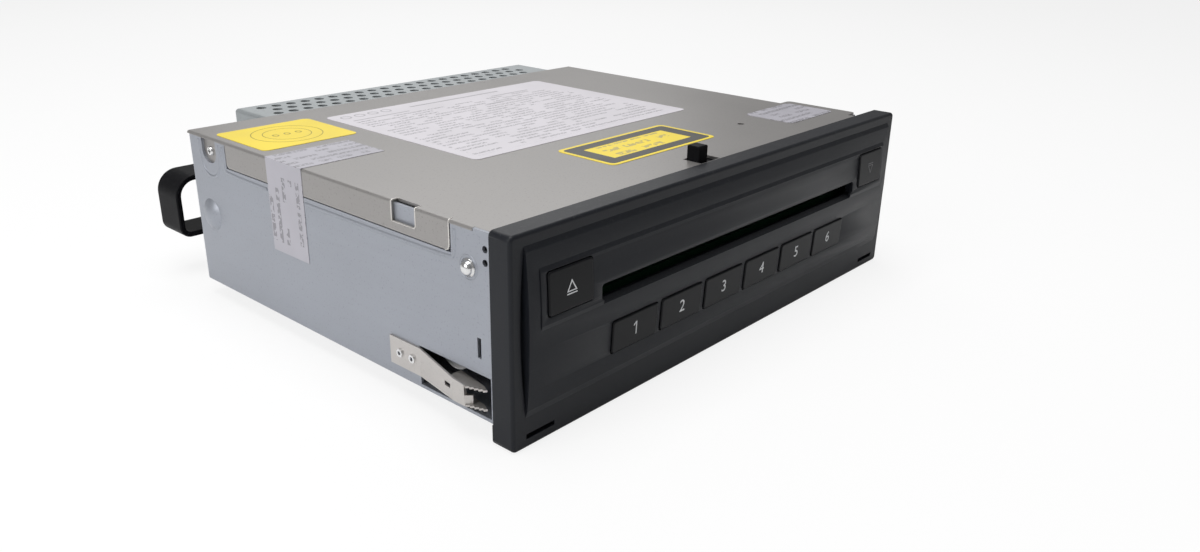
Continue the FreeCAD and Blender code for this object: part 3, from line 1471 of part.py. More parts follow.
def make_player():
    deck = body("Deck")
    half = s.deck_half
    pad(deck, rectangle(sketch(deck, "XY_Plane", s.deck_level), (-half, s.deck_front), (half, s.deck_rear)),
        s.deck_thick)
    track = sketch(deck, "XY_Plane", deck_top)
    rectangle(track, (-s.deck_slot, s.rod_front + s.rod_block), (s.deck_slot, s.rod_rear - s.rod_block))
    pocket(deck, track, s.deck_thick * 2)
    soften(deck, s.damper_radius, lambda e: along(e, "z") and (level(e, "x", half) or level(e, "x", -half)))
    blocks = []
    for x in (-s.rod_side, s.rod_side):
        for y in (s.rod_front, s.rod_rear - s.rod_block):
            blocks.append(box((x - s.rod_block / 2, y, deck_top),
                              (x + s.rod_block / 2, y + s.rod_block, s.rod_level + s.rod_block / 2)))
    drills = []
    for x in (-s.rod_side, s.rod_side):
        drills.append(rod((x, s.rod_front, s.rod_level), s.rod_radius, s.rod_rear, "y"))
    screw_block = box((s.screw_side - s.rod_block / 2, s.rod_front, deck_top),
                      (s.screw_side + s.rod_block / 2, s.rod_front + s.rod_block,
                       s.rod_level + s.rod_block / 2))
    screw_hole = rod((s.screw_side, s.rod_front - 1, s.rod_level), s.lead_radius + s.running,
                     s.rod_block + 2, "y")
    node("player_deck", cut(fuse(deck, *blocks, screw_block), *drills, screw_hole))
    dampers = []
    for x in (-half + s.damper_edge, half - s.damper_edge):
        for y in (s.deck_front + s.damper_edge, s.deck_rear - s.damper_edge):
            dampers.append(rod((x, y, floor_top), s.damper_radius, s.deck_level - floor_top, "z"))
    node("deck_dampers", group(*dampers))
    motor = rod((0, s.disc_centre, deck_top), s.spindle_radius, s.spindle_tall, "z")
    well = rod((0, s.disc_centre, deck_top + 1), s.motor_shaft + s.running, s.spindle_tall + 1, "z")
    node("spindle_motor", cut(motor, well))
    z = deck_top + s.spindle_tall + s.platter_gap
    platter = rod((0, s.disc_centre, z), s.platter_radius, s.platter_tall, "z")
    hub = rod((0, s.disc_centre, z), s.hub_radius, s.platter_tall + s.hub_tall, "z")
    stub = rod((0, s.disc_centre, deck_top + 1 + s.running), s.motor_shaft, z - deck_top, "z")
    node("turntable", fuse(platter, hub, stub))
    rods = [rod((x, s.rod_front, s.rod_level), s.rod_radius, s.rod_rear - s.rod_front, "y")
            for x in (-s.rod_side, s.rod_side)]
    node("guide_rods", group(*rods))
    lens_y = s.disc_centre - s.sled_near
    y0 = lens_y - s.sled_ahead
    y1 = lens_y + s.sled_behind
    z0 = deck_top + s.sled_gap
    z1 = z0 + s.sled_tall
    sled = box((-s.sled_half, y0, z0), (s.sled_half, y1, z1))
    nut_front = y0 + s.nut_inset
    arm = box((s.sled_half - 1, nut_front, z0),
              (s.screw_side + s.lead_radius + s.nut_wall, nut_front + s.nut_long, z1))
    bores = [rod((x, y0 - 1, s.rod_level), s.rod_radius + s.running, y1 - y0 + 2, "y")
             for x in (-s.rod_side, s.rod_side)]
    nut = rod((s.screw_side, y0, s.rod_level), s.lead_radius + s.running, s.nut_long * 2, "y")
    lens = rod((0, lens_y, z1), s.lens_radius, s.lens_tall, "z")
    node("pickup_sled", fuse(cut(fuse(sled, arm), *bores, nut), lens))
    motor_start = s.rod_rear + s.deck_thick
    screw_front = s.rod_front + s.bracket_gap
    screw_long = motor_start - screw_front - s.hook_gap
    shaft = rod((s.screw_side, screw_front, s.rod_level), s.lead_radius, screw_long, "y")
    node("lead_screw", shaft)
    can = rod((s.screw_side, motor_start, s.rod_level), s.sled_motor_radius, s.sled_motor_long, "y")
    foot_half = s.motor_foot / 2
    foot = box((s.screw_side - foot_half, motor_start + 1, deck_top),
               (s.screw_side + foot_half, motor_start + 1 + s.motor_foot, s.rod_level))
    node("sled_motor", fuse(can, foot))


def make_side_board():
    x = left + s.sheet * 2 + s.side_board_gap
    board = box((x, s.side_board_front, floor + s.side_board_low), (x + s.board_thick, s.side_board_rear,
                floor + s.side_board_high))
    face = x + s.board_thick
    level_z = floor + (s.side_board_low + s.side_board_high) / 2
    chips = []
    for half, y in ((s.chip_size / 2, s.chip_back), (s.chip_size / 4, s.chip_back + s.chip_pitch)):
        chips.append(box((face, y - half, level_z - half), (face + s.chip_thick, y + half, level_z + half)))
    feet = []
    for y in (s.side_board_front + s.board_foot, s.side_board_rear - s.board_foot * 2):
        for z in (floor + s.side_board_low + 1, floor + s.side_board_high - s.board_foot - 1):
            feet.append(box((left + s.sheet, y, z), (x, y + s.board_foot, z + s.board_foot)))
    node("main_board", fuse(board, *chips, *feet))


def make_all():
    make_bezel()
    for place in key_places():
        make_key(*place)
    make_board()
    make_chassis()
    make_covers()
    make_vent_box()
    make_socket()
    make_loop()
    make_clip_bracket()
    node("clip_plates", group(make_clip_plate("left"), make_clip_plate("right")))
    node("clip_rivets", group(*make_rivets("left"), *make_rivets("right")))
    make_clip_arm("left")
    make_clip_arm("right")
    make_hardware()
    make_lock()
    make_labels()
    make_front_plate()
    make_shutter()
    make_feed()
    make_gears()
    make_trays()
    make_lift_frame()
    make_cams()
    make_player()
    make_side_board()


def check_and_export():
    settle()
    for thing in doc.Objects:
        if "Invalid" in thing.State or "Error" in thing.State:
            raise RuntimeError("%s (%s) failed: %s" % (thing.Name, thing.Label, thing.State))
    for label, thing in nodes.items():
        if thing.Shape.isNull() or not thing.Shape.isValid():
            raise RuntimeError("%s has no valid shape" % label)
    os.makedirs("parts", exist_ok=True)
    for label, thing in nodes.items():
        thing.Shape.exportStep("parts/%s.step" % label)
    print("%d sub-parts" % len(nodes))


make_all()
check_and_export()
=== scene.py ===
import json
import math

import bmesh
import bpy
from bpy.props import FloatProperty, FloatVectorProperty, PointerProperty
from mathutils import Matrix, Vector
from mathutils.bvhtree import BVHTree


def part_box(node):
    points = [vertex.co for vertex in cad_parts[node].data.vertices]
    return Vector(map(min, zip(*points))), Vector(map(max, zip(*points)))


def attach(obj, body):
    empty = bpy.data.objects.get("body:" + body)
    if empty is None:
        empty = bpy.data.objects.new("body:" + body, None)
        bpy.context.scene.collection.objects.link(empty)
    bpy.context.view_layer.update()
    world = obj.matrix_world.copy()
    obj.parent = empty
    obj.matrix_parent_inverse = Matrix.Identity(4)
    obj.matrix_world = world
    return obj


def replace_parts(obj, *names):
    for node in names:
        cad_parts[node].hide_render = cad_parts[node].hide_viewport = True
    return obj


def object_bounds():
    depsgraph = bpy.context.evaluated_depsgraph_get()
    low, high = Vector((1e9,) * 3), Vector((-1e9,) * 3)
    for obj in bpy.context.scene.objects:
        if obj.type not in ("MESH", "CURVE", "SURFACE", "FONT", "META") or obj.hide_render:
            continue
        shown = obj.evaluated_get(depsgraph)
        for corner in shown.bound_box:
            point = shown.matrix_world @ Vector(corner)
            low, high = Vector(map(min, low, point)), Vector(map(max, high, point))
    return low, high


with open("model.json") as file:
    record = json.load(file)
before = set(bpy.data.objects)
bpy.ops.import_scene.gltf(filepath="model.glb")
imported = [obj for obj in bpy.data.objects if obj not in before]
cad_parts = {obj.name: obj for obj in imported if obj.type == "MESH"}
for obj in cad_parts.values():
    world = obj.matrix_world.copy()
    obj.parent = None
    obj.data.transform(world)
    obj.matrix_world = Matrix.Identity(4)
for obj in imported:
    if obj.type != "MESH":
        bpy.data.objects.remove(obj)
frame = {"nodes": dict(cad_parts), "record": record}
cad_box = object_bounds()

bl_info = {
    "name": "Disc changer",
    "version": (1, 0, 0),
    "blender": (4, 5, 0),
    "location": "View3D > Sidebar > Disc changer",
    "description": "Finishes, key marks, labels, screws and studio for an in-dash disc changer",
    "category": "Object",
}

BOX = "changer_box"
DISCS = 6
VALUE = "NodeSocketFloat"
VECTOR = "NodeSocketVector"

# Corners nearer than this are one corner, in metres.
WELD_GAP = 0.000002
# Prints start this far inside their label, in metres.
PRINT_SINK = 0.00001
# The floor lies this far under the object, in metres.
FLOOR_GAP = 0.00002
# A height that is above the whole object, in metres.
BEYOND = 1.0

# How finely round things are drawn.
CORNER_STEPS = 6
OVAL_STEPS = 48
STAMP_STEPS = 16
MARK_STEPS = 28
SCREW_STEPS = 28
PIN_STEPS = 40
DOME_STEPS = 6
RING_POINTS = 12
LETTER_STEPS = 5
BEAD_STEPS = 6
BEAD_ROUND = 3
EDGE_STEPS = 2
# Edges sharper than this are rounded, in degrees.
EDGE_ANGLE = 12.0

# The numeral one's flag, in widths of its stem.
FLAG_REACH = 2.6
FLAG_TOP = 2.0
FLAG_FOOT = 3.3
FLAG_ROOT = 1.4
# A numeral's height as a share of its letter size.
NUMERAL_SHARE = 0.73

# The triangle sign: top and foot in half widths, the rest in widths of its line.
SIGN_TOP = 1.15
SIGN_FOOT = 0.55
SIGN_CORNER = 1.9
SIGN_POINT = 2.3
BAR_NEAR = 1.5
BAR_FAR = 2.6

# Rings on the white label, and its bars: from the label's left and rear, wide and tall, in metres.
MARKS = 4
BARS = (
    (0.030, 0.0048, 0.040, 0.0010),
    (0.004, 0.0098, 0.022, 0.0007),
    (0.062, 0.0104, 0.018, 0.0007),
    (0.052, 0.0196, 0.012, 0.0008),
)

# The round head of a screw: widths as shares of its radius or cross, heights as shares of the head.
SHANK_WIDE = 0.5
RIM_HIGH = 0.4
CROWN_SEAT = 0.35
CROWN_HIGH = 0.65
CROWN_WIDE = 0.99
CROWN_TAPER = 0.14
TAPER_FROM = 1.3
CROSS_ARM = 0.27

# The ridge round the corner slot, in half widths: how far out its walls and its shoulders stand and
# how far its lowest point hangs.
CUP_WALL = 1.02
CUP_SHOULDER = 0.8
CUP_SAG = 0.35

# How far the bright edges sit inside the sheet, in radii of their line.
EDGE_SIDE = 0.4
EDGE_TOP = 0.5

# A side pin's head: widths as shares of its radius, heights as shares of its length.
PIN_RIM = 0.12
PIN_WAIST_WIDE = 0.78
PIN_WAIST = 0.2
PIN_DOME_WIDE = 0.76
PIN_DOME = 0.3

# The camera: its place in metres, its turn in degrees, its lens as a share of the sensor's width.
CAMERA_PLACE = (-0.2223, -0.1484, 0.1195)
CAMERA_AZIMUTH = 48.81
CAMERA_FALL = 21.75
CAMERA_ROLL = 1.12
SENSOR = 36.0
FOCAL_SHARE = 967.4 / 1200.0
CLIP_NEAR = 0.01
CLIP_FAR = 20.0

# The studio: name, place, size and power of each lamp, the point they aim at, the floor and the world.
LAMPS = (
    ("top_lamp", (-0.10, 0.05, 0.70), 0.50, 3.7),
    ("side_lamp", (-0.75, 0.10, 0.40), 0.45, 2.6),
    ("back_lamp", (0.45, 0.65, 0.60), 0.60, 1.6),
)
LAMP_AIM = (0.0, 0.06, 0.02)
FLOOR_REACH = 3.0
FLOOR_PALE = 0.88
FLOOR_ROUGH = 0.9
FLOOR_SPECULAR = 0.1
FLOOR_GLOW = 0.82
WORLD_FILL = 0.26


# ---- sizes and colours ----

def length(name, description, default):
    return FloatProperty(name=name, description=description, default=default, subtype="DISTANCE",
                         unit="LENGTH")


def shade(name, description, default):
    return FloatVectorProperty(name=name, description=description, default=default, subtype="COLOR",
                               size=3, min=0.0, max=1.0)


class ChangerSizes(bpy.types.PropertyGroup):
    mark_proud: length("Mark thickness", "How far printed marks stand off their key", 0.00004)
    numeral_height: length("Numeral height", "Height of the printed numerals", 0.0036)
    numeral_line: length("Numeral line", "Line width of the numeral one", 0.00034)
    sign_width: length("Sign width", "Width of the eject and load signs", 0.0034)
    sign_line: length("Sign line", "Line width of the eject and load signs", 0.00026)
    screw_head: length("Screw head", "Radius of the small screws' heads", 0.0014)
    screw_tall: length("Screw head height", "Height of the small screws' heads", 0.0007)
    screw_cross: length("Cross recess", "Half the reach of the cross in a screw's head", 0.00085)
    pin_tall: length("Pin height", "How far the side pins stand out", 0.0017)
    soft_edge: length("Soft edge", "Rounding on the moulded fascia's edges", 0.00022)
    numeral_lift: length("Numeral lift", "How far the numerals sit over the middle of their key", 0.0002)
    print_proud: length("Print thickness", "How far printed frames stand off their label", 0.00002)
    frame_rim: length("Frame rim", "From the caution label's edge to its dark frame", 0.0012)
    frame_round: length("Frame corner", "Radius of the dark frame's outer corners", 0.0014)
    frame_across: length("Frame side", "From the label's side to the inside of its frame", 0.0062)
    frame_along: length("Frame end", "From the label's front to the inside of its frame", 0.0050)
    frame_inner: length("Frame inner corner", "Radius of the dark frame's inner corners", 0.0003)
    field_across: length("Field side", "From the caution label's side to its fine marks", 0.0095)
    field_along: length("Field end", "From the caution label's front to its fine marks", 0.0058)
    ring_outer: length("Outer ring", "Radius of the stamp label's outer ring", 0.0105)
    ring_inner: length("Inner ring", "Radius of the stamp label's inner ring", 0.0072)
    ring_width: length("Ring width", "Line width of the stamp label's rings", 0.00028)
    link_pitch: length("Link distance", "Between the small links in the stamp label's rings", 0.0038)
    link_across: length("Link width", "Half the width of a small link", 0.0010)
    link_along: length("Link length", "Half the length of a small link", 0.0013)
    link_hole_across: length("Link hole width", "Half the width of a small link's hole", 0.0006)
    link_hole_along: length("Link hole length", "Half the length of a small link's hole", 0.0008)
    mark_first: length("First mark", "From the white label's left to its first ring's middle", 0.0050)
    mark_pitch: length("Mark distance", "Between the rings on the white label", 0.0052)
    mark_down: length("Mark margin", "From the white label's rear to its rings", 0.0046)
    mark_radius: length("Mark radius", "Radius of the rings on the white label", 0.0019)
    mark_hollow: length("Mark hollow", "Inner radius of the rings on the white label", 0.0014)
    rows_left: length("Rows left", "From the white label's left to its rows of marks", 0.0035)
    rows_right: length("Rows right", "From the white label's right to its rows of marks", 0.0066)
    rows_front: length("Rows front", "From the white label's front to its rows of marks", 0.0031)
    rows_rear: length("Rows rear", "From the white label's rear to its rows of marks", 0.0120)
    seal_turn: length("Seal edge", "Height over which the seal's upper marks end at the fold", 0.0002)
    seal_foot: length("Seal foot", "From the seal's lower end to its marks", 0.003)
    seal_head: length("Seal head", "From the seal's fold down to its side marks", 0.0045)
    ridge_radius: length("Ridge radius", "Roundness of the ridges pressed into the wall", 0.0008)
    ridge_proud: length("Ridge height", "How far the ridges stand out of the wall", 0.00022)
    ridge_gap: length("Ridge distance", "From the lid's flange to the ridge around it", 0.0019)
    flange_front: length("Flange front", "Y of the flange's front end", 0.0136)
    flange_rear: length("Flange rear", "Y of the flange's rear end", 0.1125)
    flange_high: length("Flange height", "From the lid's top to the flange's hem", 0.0075)
    ridge_roof: length("Ridge end", "From the lid's top to the upper ends of the ridge", 0.0018)
    ridge_bend: length("Ridge bend", "Reach of the ridge's two bends", 0.0015)
    corner_roof: length("Corner ridge end", "From the lid's top to the ends of the corner ridge", 0.0015)
    corner_back: length("Corner slot", "From the rear to the middle of the corner slot", 0.0122)
    corner_half: length("Corner ridge", "Half the width of the ridge around the corner slot", 0.0056)
    corner_deep: length("Corner ridge depth", "From the lid's top to the ridge's bend", 0.0105)
    pin_ring: length("Pin ring", "Radius of the ring pressed around a side pin", 0.0031)
    ring_line: length("Ring line", "Roundness of the ring around a side pin", 0.00024)
    edge_line: length("Edge line", "Roundness of the lid's bright cut edges", 0.00022)
    notch_front: length("Notch front", "Y of the front of the lid's notch", 0.0256)
    notch_rear: length("Notch rear", "Y of the rear of the lid's notch", 0.0347)
    notch_in: length("Notch reach", "From the lid's side to the inner end of the notch", 0.0022)
    notch_deep: length("Notch depth", "From the lid's top to the notch's floor", 0.0052)
    notch_turn: length("Notch turn", "How far the notch's rear edge turns its corners", 0.0006)
    edge_turn: length("Edge turn", "How far the lid's front edge reaches over its top", 0.0012)
    hem_rise: length("Hem rise", "Height at which the flange's front edge starts to bend", 0.0013)
    hem_near: length("Hem bend depth", "How far back the middle of that bend is", 0.0004)
    hem_low: length("Hem bend height", "Height of the middle of that bend", 0.0003)
    hem_reach: length("Hem reach", "Where that bend ends in the hem", 0.0014)
    clip_drop: length("Clip taper", "From the clip's top to its flange", 0.0022)
    leaf: length("Clip leaf", "Thickness of the clip's sheet", 0.0005)
    flange_lap: length("Clip flange lap", "How far the inner flange laps the toothed one", 0.0008)
    flange_fore: length("Clip flange front", "How far the inner flange goes in at its front", 0.0002)
    flange_aft: length("Clip flange rear", "How far the inner flange goes in at its rear", 0.0018)
    flange_nose: length("Clip flange nose", "From the flange's front to its bend", 0.0022)
    flange_long: length("Clip flange length", "Length of the inner flange", 0.0122)


class ChangerColours(bpy.types.PropertyGroup):
    fascia: shade("Fascia", "Moulded black of the fascia", (0.0104, 0.0117, 0.0152))
    key: shade("Keys", "Satin black of the keys", (0.0034, 0.0038, 0.0050))
    loop: shade("Loop", "Black of the pull loop and lock peg", (0.0040, 0.0040, 0.0052))
    mark: shade("Marks", "Light grey of the printed marks", (0.62, 0.63, 0.64))
    faint_mark: shade("Faint mark", "Dim grey of the load sign", (0.10, 0.10, 0.105))
    wall: shade("Wall", "Zinc blue-grey of the side walls", (0.325, 0.342, 0.382))
    lid: shade("Lid", "Warm grey of the lid", (0.308, 0.296, 0.288))
    clip: shade("Clip", "Bright sheet of the spring clips", (0.52, 0.495, 0.475))
    paper: shade("Paper", "White label", (0.585, 0.562, 0.596))
    ink: shade("Ink", "Grey ink", (0.16, 0.155, 0.17))
    yellow: shade("Yellow", "Yellow label", (0.80, 0.62, 0.035))
    seal: shade("Seal", "Pale lavender seal", (0.40, 0.39, 0.432))
    dust: shade("Dust", "Grey of the dust on plastic", (0.35, 0.35, 0.35))
    frame_ink: shade("Frame ink", "Black ink of the caution label's frame", (0.055, 0.055, 0.05))
    ring_ink: shade("Ring ink", "Brown ink of the stamp label's rings", (0.35, 0.28, 0.03))
    print_grey: shade("Grey print", "Grey ink of the white label's rings and bars", (0.36, 0.35, 0.37))
    # Painted highlight: a colour far brighter than the lid, standing in for the light that the rounded
    # rims of the lid's notch and front end catch.
    cut_edge: shade("Cut edge", "Bare metal of the lid's cut edges", (0.62, 0.60, 0.57))
    vent: shade("Vent box", "Plated sheet of the vent box", (0.36, 0.385, 0.395))


def sizes():
    """The sizes set in the panel."""
    return bpy.context.scene.changer_sizes


def colours():
    """The colours set in the panel."""
    return bpy.context.scene.changer_colours


# ---- shared effects ----

def new_group(name, inputs, outputs):
    """An empty node group with named sockets, and its two end nodes."""
    tree = bpy.data.node_groups.new(name, "ShaderNodeTree")
    for word, kind, default in inputs:
        socket = tree.interface.new_socket(word, in_out="INPUT", socket_type=kind)
        if default is not None:
            socket.default_value = default
    for word, kind in outputs:
        tree.interface.new_socket(word, in_out="OUTPUT", socket_type=kind)
    start = tree.nodes.new("NodeGroupInput")
    end = tree.nodes.new("NodeGroupOutput")
    return tree, start, end


def feed(tree, value, socket):
    """Link a socket to another one, or write a plain value into it."""
    if isinstance(value, bpy.types.NodeSocket):
        tree.links.new(value, socket)
    else:
        socket.default_value = value


def maths(tree, operation, *values):
    """A Math node fed by sockets or plain numbers."""
    step = tree.nodes.new("ShaderNodeMath")
    step.operation = operation
    for value, socket in zip(values, step.inputs):
        feed(tree, value, socket)
    return step.outputs[0]


def noise(tree, vector, scale, detail, rough=0.5):
    """A cloudy field; scale is cells per metre."""
    cloud = tree.nodes.new("ShaderNodeTexNoise")
    cloud.inputs["Detail"].default_value = detail
    cloud.inputs["Roughness"].default_value = rough
    feed(tree, scale, cloud.inputs["Scale"])
    tree.links.new(vector, cloud.inputs["Vector"])
    return cloud.outputs["Fac"]


def remap(tree, value, low, high, to_low=0.0, to_high=1.0):
    """A value stretched from one span to another, held inside it."""
    span = tree.nodes.new("ShaderNodeMapRange")
    tree.links.new(value, span.inputs["Value"])
    for word, limit in (("From Min", low), ("From Max", high), ("To Min", to_low), ("To Max", to_high)):
        feed(tree, limit, span.inputs[word])
    return span.outputs["Result"]


def centred(tree, value):
    """A cloud's value counted from its middle."""
    return maths(tree, "SUBTRACT", value, 0.5)


def sheet_group():
    """Plated sheet: slow tone drift, rolling streaks along Y, fine specks and a height."""
    tree, start, end = new_group("plated_sheet", [
        ("Position", VECTOR, None), ("Drift", VALUE, 0.1), ("Streak", VALUE, 0.05),
        ("Speck", VALUE, 0.2)],
        [("Tone", VALUE), ("Gloss", VALUE), ("Height", VALUE)])
    drift_gloss = 0.6
    grain_part = 0.6
    streak_part = 0.4
    place = start.outputs["Position"]
    slow = noise(tree, place, scale=24.0, detail=3.0, rough=0.55)
    stretch = tree.nodes.new("ShaderNodeVectorMath")
    stretch.operation = "MULTIPLY"
    stretch.inputs[1].default_value = (420.0, 14.0, 420.0)
    tree.links.new(place, stretch.inputs[0])
    streaks = noise(tree, stretch.outputs["Vector"], scale=1.0, detail=2.0, rough=0.6)
    fine = noise(tree, place, scale=1700.0, detail=1.0)
    grain = noise(tree, place, scale=5200.0, detail=0.0)
    drift = maths(tree, "MULTIPLY", centred(tree, slow), start.outputs["Drift"])
    streak = maths(tree, "MULTIPLY", centred(tree, streaks), start.outputs["Streak"])
    speck = maths(tree, "MULTIPLY", remap(tree, fine, low=0.62, high=0.75), start.outputs["Speck"])
    total = maths(tree, "ADD", maths(tree, "ADD", drift, streak), 1.0)
    tree.links.new(maths(tree, "SUBTRACT", total, speck), end.inputs["Tone"])
    gloss = maths(tree, "ADD", streak, maths(tree, "MULTIPLY", drift, drift_gloss))
    tree.links.new(gloss, end.inputs["Gloss"])
    height = maths(tree, "ADD", maths(tree, "MULTIPLY", grain, grain_part),
                   maths(tree, "MULTIPLY", streaks, streak_part))
    tree.links.new(height, end.inputs["Height"])
    return tree


def moulding_group():
    """Moulded plastic: fine texture height, faint dust on upward faces and a slow gloss drift."""
    tree, start, end = new_group("moulded_plastic", [
        ("Position", VECTOR, None), ("Normal", VECTOR, None), ("Grain", VALUE, 2600.0),
        ("Dust", VALUE, 0.1)],
        [("Dust", VALUE), ("Gloss", VALUE), ("Height", VALUE)])
    dust_everywhere = 0.12
    place = start.outputs["Position"]
    grain = noise(tree, place, scale=start.outputs["Grain"], detail=1.0)
    slow = noise(tree, place, scale=38.0, detail=2.0)
    fluff = noise(tree, place, scale=900.0, detail=2.0, rough=0.7)
    parts = tree.nodes.new("ShaderNodeSeparateXYZ")
    tree.links.new(start.outputs["Normal"], parts.inputs[0])
    up = remap(tree, parts.outputs["Z"], low=0.2, high=1.0)
    lint = remap(tree, fluff, low=0.56, high=0.72)
    settled = maths(tree, "MULTIPLY", lint, maths(tree, "ADD", up, dust_everywhere))
    tree.links.new(maths(tree, "MULTIPLY", settled, start.outputs["Dust"]), end.inputs["Dust"])
    tree.links.new(centred(tree, slow), end.inputs["Gloss"])
    tree.links.new(grain, end.inputs["Height"])
    return tree


def print_group():
    """Rows of small broken marks that read as fine print without being words. X runs along a row."""
    tree, start, end = new_group("fine_print", [
        ("Position", VECTOR, None), ("Row", VALUE, 0.003), ("Share", VALUE, 0.45),
        ("Letter", VALUE, 1400.0), ("Word", VALUE, 160.0)],
        [("Mask", VALUE)])
    row_shift = 5.37
    word_cut = 0.43
    letter_cut = 0.47
    parts = tree.nodes.new("ShaderNodeSeparateXYZ")
    tree.links.new(start.outputs["Position"], parts.inputs[0])
    along = parts.outputs["X"]
    down = parts.outputs["Y"]
    ratio = maths(tree, "DIVIDE", down, start.outputs["Row"])
    within = maths(tree, "LESS_THAN", maths(tree, "FRACT", ratio), start.outputs["Share"])
    line = maths(tree, "FLOOR", ratio)
    word_place = tree.nodes.new("ShaderNodeCombineXYZ")
    tree.links.new(maths(tree, "MULTIPLY", along, start.outputs["Word"]), word_place.inputs["X"])
    tree.links.new(maths(tree, "MULTIPLY", line, row_shift), word_place.inputs["Y"])
    word_cloud = noise(tree, word_place.outputs[0], scale=1.0, detail=0.0)
    words = maths(tree, "GREATER_THAN", word_cloud, word_cut)
    letter_place = tree.nodes.new("ShaderNodeCombineXYZ")
    tree.links.new(maths(tree, "MULTIPLY", along, start.outputs["Letter"]), letter_place.inputs["X"])
    tree.links.new(maths(tree, "MULTIPLY", down, start.outputs["Letter"]), letter_place.inputs["Y"])
    letter_cloud = noise(tree, letter_place.outputs[0], scale=1.0, detail=1.0)
    letters = maths(tree, "GREATER_THAN", letter_cloud, letter_cut)
    mask = maths(tree, "MULTIPLY", maths(tree, "MULTIPLY", within, words), letters)
    tree.links.new(mask, end.inputs["Mask"])
    return tree


def film_group():
    """Label film: one slow cloud that drifts the tone and the roughness between their limits."""
    tree, start, end = new_group("label_film", [
        ("Position", VECTOR, None), ("Scale", VALUE, 60.0), ("Dim", VALUE, 0.95), ("Pale", VALUE, 1.04),
        ("Smooth", VALUE, 0.42), ("Coarse", VALUE, 0.58)],
        [("Tone", VALUE), ("Roughness", VALUE)])
    cloud = noise(tree, start.outputs["Position"], scale=start.outputs["Scale"], detail=3.0)
    tone = remap(tree, cloud, 0.3, 0.7, start.outputs["Dim"], start.outputs["Pale"])
    tree.links.new(tone, end.inputs["Tone"])
    rough = remap(tree, cloud, 0.2, 0.8, start.outputs["Smooth"], start.outputs["Coarse"])
    tree.links.new(rough, end.inputs["Roughness"])
    return tree


EFFECTS = {
    "plated_sheet": sheet_group,
    "moulded_plastic": moulding_group,
    "fine_print": print_group,
    "label_film": film_group,
}


def effect(tree, name, place, **values):
    """The shared effect's group node, made on first use."""
    group = bpy.data.node_groups.get(name) or EFFECTS[name]()
    step = tree.nodes.new("ShaderNodeGroup")
    step.node_tree = group
    tree.links.new(place, step.inputs["Position"])
    for word, value in values.items():
        step.inputs[word].default_value = value
    return step


# ---- materials ----

def start_material(name):
    """A new material with its node tree, its shader and the place on the object."""
    material = bpy.data.materials.new(name)
    material.use_nodes = True
    tree = material.node_tree
    shader = tree.nodes["Principled BSDF"]
    place = tree.nodes.new("ShaderNodeTexCoord").outputs["Object"]
    return material, tree, shader, place


def tint(tree, first, second, mask):
    """Mixes two colours by a mask; the first may be a socket or three numbers."""
    blend = tree.nodes.new("ShaderNodeMix")
    blend.data_type = "RGBA"
    factor = blend.inputs[0]
    under = blend.inputs[6]
    over = blend.inputs[7]
    feed(tree, first if isinstance(first, bpy.types.NodeSocket) else (*first, 1.0), under)
    over.default_value = (*second, 1.0)
    tree.links.new(mask, factor)
    return blend.outputs[2]


def scaled(tree, colour, tone):
    """A colour times a tone that varies over the surface."""
    product = tree.nodes.new("ShaderNodeVectorMath")
    product.operation = "SCALE"
    product.inputs[0].default_value = colour
    tree.links.new(tone, product.inputs["Scale"])
    return product.outputs["Vector"]


def bump(tree, shader, height, distance, strength):
    """Relief from a height; distance in metres."""
    dent = tree.nodes.new("ShaderNodeBump")
    dent.inputs["Distance"].default_value = distance
    dent.inputs["Strength"].default_value = strength
    tree.links.new(height, dent.inputs["Height"])
    tree.links.new(dent.outputs["Normal"], shader.inputs["Normal"])


def sheet_metal(name, colour, metallic, rough, drift, streak, speck, relief=0.00002):
    """Plated or bare sheet."""
    material, tree, shader, place = start_material(name)
    plate = effect(tree, "plated_sheet", place, Drift=drift, Streak=streak, Speck=speck)
    tree.links.new(scaled(tree, colour, plate.outputs["Tone"]), shader.inputs["Base Color"])
    tree.links.new(maths(tree, "ADD", plate.outputs["Gloss"], rough), shader.inputs["Roughness"])
    shader.inputs["Metallic"].default_value = metallic
    bump(tree, shader, plate.outputs["Height"], relief, strength=0.35)
    return material


def moulded(name, colour, rough, grain=2600.0, relief=0.00002, dust=0.1, gloss=0.12, coat=0.0,
            specular=0.4):
    """Moulded plastic or rubber with a fine texture and a little dust."""
    material, tree, shader, place = start_material(name)
    form = effect(tree, "moulded_plastic", place, Grain=grain, Dust=dust)
    normal = tree.nodes.new("ShaderNodeNewGeometry")
    tree.links.new(normal.outputs["Normal"], form.inputs["Normal"])
    dusty = tint(tree, colour, colours().dust, form.outputs["Dust"])
    tree.links.new(dusty, shader.inputs["Base Color"])
    glossy = maths(tree, "MULTIPLY_ADD", form.outputs["Gloss"], gloss, rough)
    tree.links.new(glossy, shader.inputs["Roughness"])
    shader.inputs["Coat Weight"].default_value = coat
    shader.inputs["Specular IOR Level"].default_value = specular
    bump(tree, shader, form.outputs["Height"], relief, strength=0.4)
    return material


def film(tree, shader, place, colour, scale, dim, pale, rough, spread=0.08):
    """Sets a film's roughness and gives back its drifting colour."""
    drift = effect(tree, "label_film", place, Scale=scale, Dim=dim, Pale=pale, Smooth=rough - spread,
                   Coarse=rough + spread)
    tree.links.new(drift.outputs["Roughness"], shader.inputs["Roughness"])
    return scaled(tree, colour, drift.outputs["Tone"])


